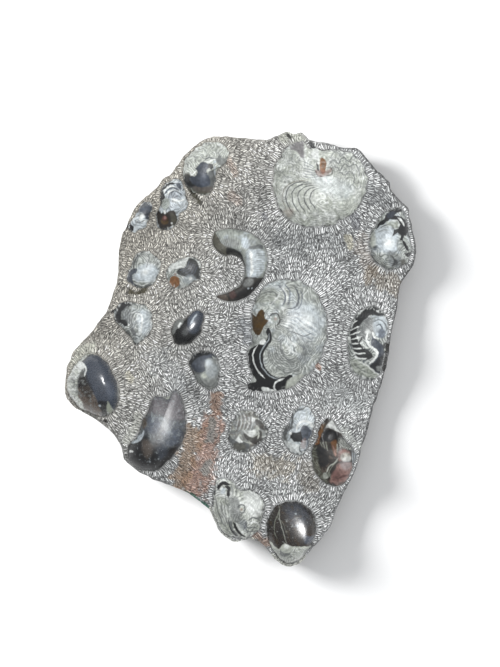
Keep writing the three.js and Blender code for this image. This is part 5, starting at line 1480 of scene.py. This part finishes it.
def closed_rings(n, count, foot):
    """Triangles over a tip point, count rings of n points and a foot point, numbered in that order."""
    ids = 1 + np.arange(count * n).reshape(count, n)
    faces = [np.c_[np.zeros(n, int), ids[0], np.roll(ids[0], -1)]]
    for upper, lower in zip(ids[:-1], ids[1:]):
        faces += band(upper, lower)
    faces.append(np.c_[np.full(n, foot), np.roll(ids[-1], -1), ids[-1]])
    return np.concatenate(faces)


def evened(outline, peak, radius):
    """The mean radius of each direction's neighbourhood."""
    turn = np.arctan2(*(outline - peak).T[::-1])
    apart = np.angle(np.exp(1j * (turn[:, None] - turn)))
    weight = np.exp(-(apart / DOME_EVENING) ** 2)
    return np.minimum(weight @ radius / weight.sum(1), 1.2 * radius)


def dome_height(shell, rim, x, y, share):
    """A dome's height at places that lie this share of the way from its peak to its rim."""
    z = rim + shell["rise"] * (1 - share ** shell["full"]) ** shell["shoulder"]
    z = z + DOME_UNEVEN * drift(x, y, 15, 71) * (1 - share ** 4)
    for bowl, long, short, degrees, depth in shell["bowls"]:
        east, north = placed(bowl, shell["peak"])[0]
        c, s = math.cos(math.radians(degrees)), math.sin(math.radians(degrees))
        a = ((x - east) * c + (y - north) * s) / long
        b = (-(x - east) * s + (y - north) * c) / short
        z = z - 0.7 * depth * np.exp(-1.6 * (a * a + b * b) ** 1.5)
    return z


def bruised(colours, shell, run, from_rim):
    """A shell's colours, with the short pale and dark streaks that the pick has left along its rim."""
    streak = drift(run, 0.4 * from_rim, 1.1, 72)
    pecked = np.where((streak > 0)[:, None], TONES["chalk"], TONES["smoke"])
    strayed = from_rim + 1.2 * drift(run, 0, 7, 73) + 0.8 * drift(run, 0, 2.5, 74)
    bruise = 1 - eased(strayed, 0.8, 2.6)
    bruise *= shell["rough_rim"] * eased(np.abs(streak), 0, 0.5)
    return colours + (pecked - colours) * bruise[:, None]


def make_shell(name, shell, material, slot):
    """A polished dome from its rim to its peak, with the wall that stands in its seat, and its markings."""
    rim = SEATS[name]["rim"]
    peak = np.array(shell["peak"], float)
    outline = shell_outline(shell, PAINT_STEP)
    outward = (outline - peak) / np.hypot(*(outline - peak).T)[:, None]
    outline = outline - RIM_INSET * outward
    radius = np.hypot(*(outline - peak).T)
    reach = radius.max()
    n = len(outline)
    steps = int(reach / PAINT_STEP)
    shares = 1 - (1 - np.arange(1, steps + 1) / steps) ** RING_CLOSING
    # Near the rim a ring keeps the rim's own bays, and towards the peak it is evened out.
    even = evened(outline, peak, radius)
    drawn_in = (even + (radius - even) * shares[:, None] ** 3) / radius
    rings = peak + (shares[:, None] * drawn_in)[:, :, None] * (outline - peak)
    x, y = rings[:, :, 0], rings[:, :, 1]
    z = dome_height(shell, rim, x, y, np.broadcast_to(shares[:, None], x.shape))
    top = rim + shell["rise"] + DOME_UNEVEN * drift(peak[0], peak[1], 15, 71)
    dome = np.stack([x, y, z], -1).reshape(-1, 3)
    wall = np.c_[outline, np.full(n, rim - SHELL_WALL)]
    points = np.vstack([[*peak, top], dome, wall, [*peak, rim - SHELL_WALL]])
    faces = closed_rings(n, steps + 1, len(points) - 1)
    shown = n * (2 * steps - 1)
    sharp = np.arange(len(faces)) >= shown
    piece = new_piece("goniatite_" + name, points, faces, np.zeros(len(faces)), sharp)
    piece_map(piece, points, faces, shown)
    run = np.concatenate([[0], np.tile(np.arange(n) * PAINT_STEP, steps + 1), [0]])
    from_rim = np.concatenate([[reach], np.repeat((1 - shares) * reach, n), np.zeros(n + 1)])
    paint(piece, bruised(shell_markings(name, points[:, 0], points[:, 1], peak), shell, run, from_rim))
    dress(piece, "ammonite_" + name, slot, material)
    return piece


def piece_map(piece, points, faces, shown):
    """The shown faces laid flat from above, and the hidden walls and foot in a strip below them."""
    low, high = points.min(0), points.max(0)
    places = (points[faces][:, :, :2] - low[:2]) / (high - low)[:2]
    places[:shown] = SHOWN_START + SHOWN_SIZE * places[:shown]
    hidden = len(faces) - shown
    start = HIDDEN_START + HIDDEN_ACROSS * np.arange(hidden) / hidden
    step = 0.9 * HIDDEN_ACROSS / hidden
    places[shown:, 0] = np.c_[start, np.full(hidden, HIDDEN_LOW)]
    places[shown:, 1] = np.c_[start + step, np.full(hidden, HIDDEN_LOW)]
    places[shown:, 2] = np.c_[start, np.full(hidden, HIDDEN_HIGH)]
    flat_map(piece, places)


CRESCENT_LENGTH = 130
CRESCENT_RIB = 2.4  # one rib to the next, along the whorl
CRESCENT_RIB_HIGH = 0.2
CRESCENT_SWEEP = 5  # radians of a rib's wave by which it sweeps back, from the inner side to the outer
CRESCENT_CUTS = 230  # cross-sections along it
CRESCENT_SMOOTH = (0.35, 0.6)  # the ribs fade between these shares of the way to its point
CRESCENT_FADE = 0.7  # and lose this much of their height


def between_stations(run, values):
    """Station values joined by a smooth curve and read at each share of the way along."""
    line = flowing(np.c_[np.arange(len(values)) * 10.0, values], 0.5)
    return np.interp(run * (len(values) - 1) * 10, line[:, 0], line[:, 1])


def whorl_faces(ids):
    """Triangles over the crescent's rows of points, the crest first and then its walls, its foot and its two
    ends. Also how many of them show."""
    a, b, c, d = ids[:-1, 1:-2], ids[1:, 1:-2], ids[1:, 2:-1], ids[:-1, 2:-1]
    faces = [np.stack([a, b, c], -1).reshape(-1, 3), np.stack([a, c, d], -1).reshape(-1, 3)]
    shown = len(faces[0]) + len(faces[1])
    for left, right in ((0, 1), (-2, -1), (-1, 0)):
        a, b, c, d = ids[:-1, left], ids[1:, left], ids[1:, right], ids[:-1, right]
        faces += [np.c_[a, b, c], np.c_[a, c, d]]
    columns = len(ids[0])
    blunt_end, point_end = ids.size, ids.size + 1
    faces.append(np.c_[np.full(columns, blunt_end), ids[0], np.roll(ids[0], -1)])
    faces.append(np.c_[np.full(columns, point_end), np.roll(ids[-1], -1), ids[-1]])
    return np.concatenate(faces), shown


def make_crescent(material):
    """The half whorl: a ribbed crest that sweeps round a hollow, with its foot in the stone."""
    rim = SEATS["whorl_crescent"]["rim"]
    run = np.linspace(0, 1, CRESCENT_CUTS)
    direction, inner, outer, crest = (between_stations(run, values)[:, None]
                                      for values in np.array(CRESCENT_STATIONS, float).T)
    section = flowing(CRESCENT_SECTION, 0.045)
    across = np.concatenate([[0], section[:, 0], [1]])
    up = np.clip(section[:, 1], 0, 1)
    x, y = around_crescent(direction, inner + across * (outer - inner))
    ribbed = 1 - CRESCENT_FADE * eased(run, *CRESCENT_SMOOTH)[:, None]
    wave = np.sin(2 * math.pi * run[:, None] * CRESCENT_LENGTH / CRESCENT_RIB + CRESCENT_SWEEP * across)
    crown = rim + crest * up + CRESCENT_RIB_HIGH * ribbed * wave[:, 1:-1] * up
    foot = np.full((len(run), 1), rim - SHELL_WALL)
    z = np.hstack([foot, crown, foot])
    ids = np.arange(x.size).reshape(x.shape)
    faces, shown = whorl_faces(ids)
    points = np.stack([x, y, z], -1).reshape(-1, 3)
    points = np.vstack([points, points[ids[0]].mean(0), points[ids[-1]].mean(0)])
    sharp = np.arange(len(faces)) >= shown
    piece = new_piece("crescent_of_whorl", points, faces, np.zeros(len(faces)), sharp)
    piece_map(piece, points, faces, shown)
    colours = shell_markings("whorl_crescent", points[:, 0], points[:, 1], CRESCENT_MIDDLE)
    # Painted light and shade along the ribs: crests paler, hollows darker.
    ribs = np.concatenate([(ribbed * wave).ravel(), [0, 0]])
    paint(piece, colours * (1 + 0.12 * ribs)[:, None])
    dress(piece, "whorl_crescent", "pale_calcite", material)
    return piece


# ---------------- materials


def add_node(tree, kind, settings=None, inputs=None):
    """Adds a node with its own settings, and its inputs as values or as other nodes' outputs."""
    node = tree.nodes.new(kind)
    for field, value in (settings or {}).items():
        setattr(node, field, value)
    for socket, value in (inputs or {}).items():
        if isinstance(value, bpy.types.NodeSocket):
            tree.links.new(value, node.inputs[socket])
        else:
            node.inputs[socket].default_value = value
    return node


def new_material(name):
    """A material with its node tree, its shader, the place on the piece, and the markings' colours."""
    material = bpy.data.materials.new(name)
    material.use_nodes = True
    tree = material.node_tree
    surface = tree.nodes["Principled BSDF"]
    place = add_node(tree, "ShaderNodeTexCoord").outputs["Object"]
    drawn = add_node(tree, "ShaderNodeAttribute", {"attribute_name": "markings"}).outputs["Color"]
    return material, tree, surface, place, drawn


def grains(millimetres):
    """A texture's scale for features of this size."""
    return 1 / (millimetres * MM)


CALCITE_IOR = 1.58
MILK = 3.2  # the milky clouds in the calcite, across
CRYSTAL = 0.9  # its crystals, really a few tenths of a millimetre, drawn coarser so that they show


def polished_calcite(name, roughness, cloud, waviness, gloss=0.5):
    """Calcite that fills the shell's chambers, ground and polished by hand: glassy, a little wavy, with milky
    clouds and a grain of crystals. The polish's own scratches are too fine to show, and only dull it."""
    material, tree, surface, place, drawn = new_material(name)
    milk = add_node(tree, "ShaderNodeTexNoise", {}, {
        "Vector": place, "Scale": grains(MILK), "Detail": 6.0, "Roughness": 0.62, "Distortion": 0.6})
    crystal = add_node(tree, "ShaderNodeTexNoise", {}, {
        "Vector": place, "Scale": grains(CRYSTAL), "Detail": 4.0, "Roughness": 0.7})
    milk_level = add_node(tree, "ShaderNodeMapRange", {}, {
        "Value": milk.outputs["Fac"], "From Min": 0.3, "From Max": 0.7,
        "To Min": 1 - cloud, "To Max": 1 + cloud})
    grain_level = add_node(tree, "ShaderNodeMapRange", {}, {
        "Value": crystal.outputs["Fac"], "From Min": 0.3, "From Max": 0.7, "To Min": 0.93, "To Max": 1.07})
    level = add_node(tree, "ShaderNodeMath", {"operation": "MULTIPLY"}, {
        0: milk_level.outputs["Result"], 1: grain_level.outputs["Result"]})
    colour = add_node(tree, "ShaderNodeVectorMath", {"operation": "SCALE"}, {
        0: drawn, "Scale": level.outputs["Value"]})
    polish = add_node(tree, "ShaderNodeMapRange", {}, {
        "Value": crystal.outputs["Fac"], "From Min": 0.35, "From Max": 0.75,
        "To Min": roughness, "To Max": roughness + 0.12})
    bump = add_node(tree, "ShaderNodeBump", {}, {
        "Height": milk.outputs["Fac"], "Strength": 0.5, "Distance": waviness * MM})
    surface.inputs["IOR"].default_value = CALCITE_IOR
    surface.inputs["Specular IOR Level"].default_value = gloss
    tree.links.new(colour.outputs["Vector"], surface.inputs["Base Color"])
    tree.links.new(polish.outputs["Result"], surface.inputs["Roughness"])
    tree.links.new(bump.outputs["Normal"], surface.inputs["Normal"])
    return material


# The saw's middle lies beside the slab, in metres. A wave texture turns once in 0.314 of its scale.
BLADE_CENTRE = (0.31, 0.12, 0)
WAVE_SCALE = 0.314
MUD = 22  # the mud-grey clouds in the stone, across


def limestone(name, grain, contrast, bump_depth, roughness, saw_pitch=None):
    """Dark limestone: dull, with a grain of fossil sand, and chiselled, broken or sawn. The sand is really
    under 1 mm and is drawn coarser so that it shows. So are the shallow arcs that a saw's blade leaves,
    really about 1 mm apart, and the sawn stone also shows its clouds of mud."""
    material, tree, surface, place, drawn = new_material(name)
    sand = add_node(tree, "ShaderNodeTexNoise", {}, {
        "Vector": place, "Scale": grains(grain), "Detail": 5.0, "Roughness": 0.7})
    level = add_node(tree, "ShaderNodeMapRange", {}, {
        "Value": sand.outputs["Fac"], "From Min": 0.3, "From Max": 0.7,
        "To Min": 1 - contrast, "To Max": 1 + contrast})
    colour = add_node(tree, "ShaderNodeVectorMath", {"operation": "SCALE"}, {
        0: drawn, "Scale": level.outputs["Result"]})
    if saw_pitch:
        from_blade = add_node(tree, "ShaderNodeVectorMath", {"operation": "ADD"}, {0: place, 1: BLADE_CENTRE})
        arcs = add_node(tree, "ShaderNodeTexWave", {"wave_type": "RINGS", "rings_direction": "Z"}, {
            "Vector": from_blade.outputs["Vector"], "Scale": WAVE_SCALE * grains(saw_pitch),
            "Distortion": 1.6, "Detail": 3.0, "Detail Scale": 2.0})
        mud = add_node(tree, "ShaderNodeTexNoise", {}, {
            "Vector": place, "Scale": grains(MUD), "Detail": 6.0, "Roughness": 0.6})
        streaks = add_node(tree, "ShaderNodeMath", {"operation": "MULTIPLY_ADD"}, {
            0: arcs.outputs["Fac"], 1: 0.1, 2: mud.outputs["Fac"]})
        shade = add_node(tree, "ShaderNodeMapRange", {}, {
            "Value": streaks.outputs["Value"], "From Min": 0.35, "From Max": 0.75,
            "To Min": 0.8, "To Max": 1.9})
        colour = add_node(tree, "ShaderNodeVectorMath", {"operation": "SCALE"}, {
            0: colour.outputs["Vector"], "Scale": shade.outputs["Result"]})
    bump = add_node(tree, "ShaderNodeBump", {}, {
        "Height": sand.outputs["Fac"], "Strength": 0.6, "Distance": bump_depth * MM})
    dull = add_node(tree, "ShaderNodeMapRange", {}, {
        "Value": sand.outputs["Fac"], "From Min": 0.3, "From Max": 0.7,
        "To Min": roughness - 0.08, "To Max": roughness + 0.06})
    tree.links.new(colour.outputs["Vector"], surface.inputs["Base Color"])
    tree.links.new(dull.outputs["Result"], surface.inputs["Roughness"])
    tree.links.new(bump.outputs["Normal"], surface.inputs["Normal"])
    return material


# ---------------- assembly

# The face, pecked all over with a mason's point: dull, every facet catching the light in its own way.
chiselled = limestone("chiselled_limestone", grain=1.6, contrast=0.16, bump_depth=0.3, roughness=0.86)
# The side and the seats, as the hammer broke them: matt and coarse, the stone's own dark grey.
broken = limestone("broken_limestone", grain=4.0, contrast=0.3, bump_depth=1.2, roughness=0.9)
# The back, sawn flat and left so: smoother, with the blade's faint arcs.
sawn = limestone("sawn_limestone", grain=2.2, contrast=0.22, bump_depth=0.2, roughness=0.82, saw_pitch=5)
# White and grey calcite, hand-polished: a soft sheen over its chambers, from crystals that lie every way.
pale = polished_calcite("polished_pale_calcite", roughness=0.35, cloud=0.14, waviness=0.7)
# Nearly black calcite under a finer polish: it mirrors the lamp as a small bright spot.
dark = polished_calcite("polished_dark_calcite", roughness=0.23, cloud=0.20, waviness=0.25)
# The same black calcite, scratched and dulled by handling: the lamp spreads over it as a broad grey glow.
worn = polished_calcite("worn_dark_calcite", roughness=0.38, cloud=0.34, waviness=0.4, gloss=0.36)

slab = make_slab()
dress(slab, "matrix", "chiselled_limestone", chiselled, broken, sawn)
dark_domes = []
for name, shell in SHELLS.items():
    if name in DARK_SHELLS:
        finish = worn if name == "south_west_dome" else dark
        dark_domes.append(make_shell(name, shell, finish, "dark_calcite"))
    else:
        make_shell(name, shell, pale, "pale_calcite")
make_crescent(pale)

# ---------------- floor and light

# In this part places and sizes are in metres.
FLOOR_HALF = 3
FLOOR_BELOW = 0.0002  # clear of the back, so that the two don't show through each other

corners = [(-FLOOR_HALF, -FLOOR_HALF, 0), (FLOOR_HALF, -FLOOR_HALF, 0),
           (FLOOR_HALF, FLOOR_HALF, 0), (-FLOOR_HALF, FLOOR_HALF, 0)]
floor_mesh = bpy.data.meshes.new("studio_floor")
floor_mesh.from_pydata(corners, [], [(0, 1, 2, 3)])
floor = bpy.data.objects.new("studio_floor", floor_mesh)
floor.location.z = -FLOOR_BELOW
bpy.context.scene.collection.objects.link(floor)
# Matt white background paper, with no gloss at all.
paper = bpy.data.materials.new("white_paper")
paper.use_nodes = True
paper_surface = paper.node_tree.nodes["Principled BSDF"].inputs
paper_surface["Base Color"].default_value = (*linear("#f2f2f2"), 1)
paper_surface["Roughness"].default_value = 0.9
paper_surface["Specular IOR Level"].default_value = 0.0
floor_mesh.materials.append(paper)

# A pale room, brighter towards the window side at the upper right.
WINDOW_SIDE = (0.45, 0.55, 0.70)
studio = bpy.data.worlds.new("studio")
bpy.context.scene.world = studio
studio.use_nodes = True
sky = studio.node_tree
backdrop = sky.nodes["Background"]
direction = add_node(sky, "ShaderNodeTexCoord").outputs["Generated"]
towards = add_node(sky, "ShaderNodeVectorMath", {"operation": "DOT_PRODUCT"}, {0: direction, 1: WINDOW_SIDE})
ramp = add_node(sky, "ShaderNodeMapRange", {}, {
    "Value": towards.outputs["Value"], "From Min": -0.4, "From Max": 1.0, "To Min": 0.32, "To Max": 0.92})
sky.links.new(ramp.outputs["Result"], backdrop.inputs["Strength"])
backdrop.inputs["Color"].default_value = (0.97, 0.985, 1.0, 1)


def softbox(name, place, aim, size, watts, lit=None, unlit=None):
    """A square lamp that lights everything, or only some objects, or all but some."""
    lamp = bpy.data.lights.new(name, "AREA")
    lamp.shape = "SQUARE"
    lamp.size = size
    lamp.energy = watts
    holder = bpy.data.objects.new(name, lamp)
    holder.location = place
    holder.rotation_euler = (Vector(aim) - Vector(place)).to_track_quat("-Z", "Y").to_euler()
    bpy.context.scene.collection.objects.link(holder)
    chosen = lit or unlit
    if chosen:
        group = bpy.data.collections.new(name + "_reach")
        for thing in chosen:
            group.objects.link(thing)
        holder.light_linking.receiver_collection = group
        if unlit:
            for entry in group.collection_objects:
                entry.light_linking.link_state = "EXCLUDE"
    return holder


KEY_PLACE, KEY_AIM = (0.21, 0.32, 1.02), (0, 0, 0.02)
softbox("key_softbox", KEY_PLACE, KEY_AIM, size=0.16, watts=5.8, unlit=[floor])
# The glint that the key lamp gives the dark domes, without lighting them any more.
glint = softbox("glint_softbox", KEY_PLACE, KEY_AIM, size=0.34, watts=20, lit=dark_domes)
glint.visible_diffuse = False
# The floor has its own lamp, so that it stays pale and the slab throws a soft shadow to the right.
softbox("floor_softbox", (-1.12, 0.50, 0.86), (0, 0, 0), size=0.6, watts=36, lit=[floor])
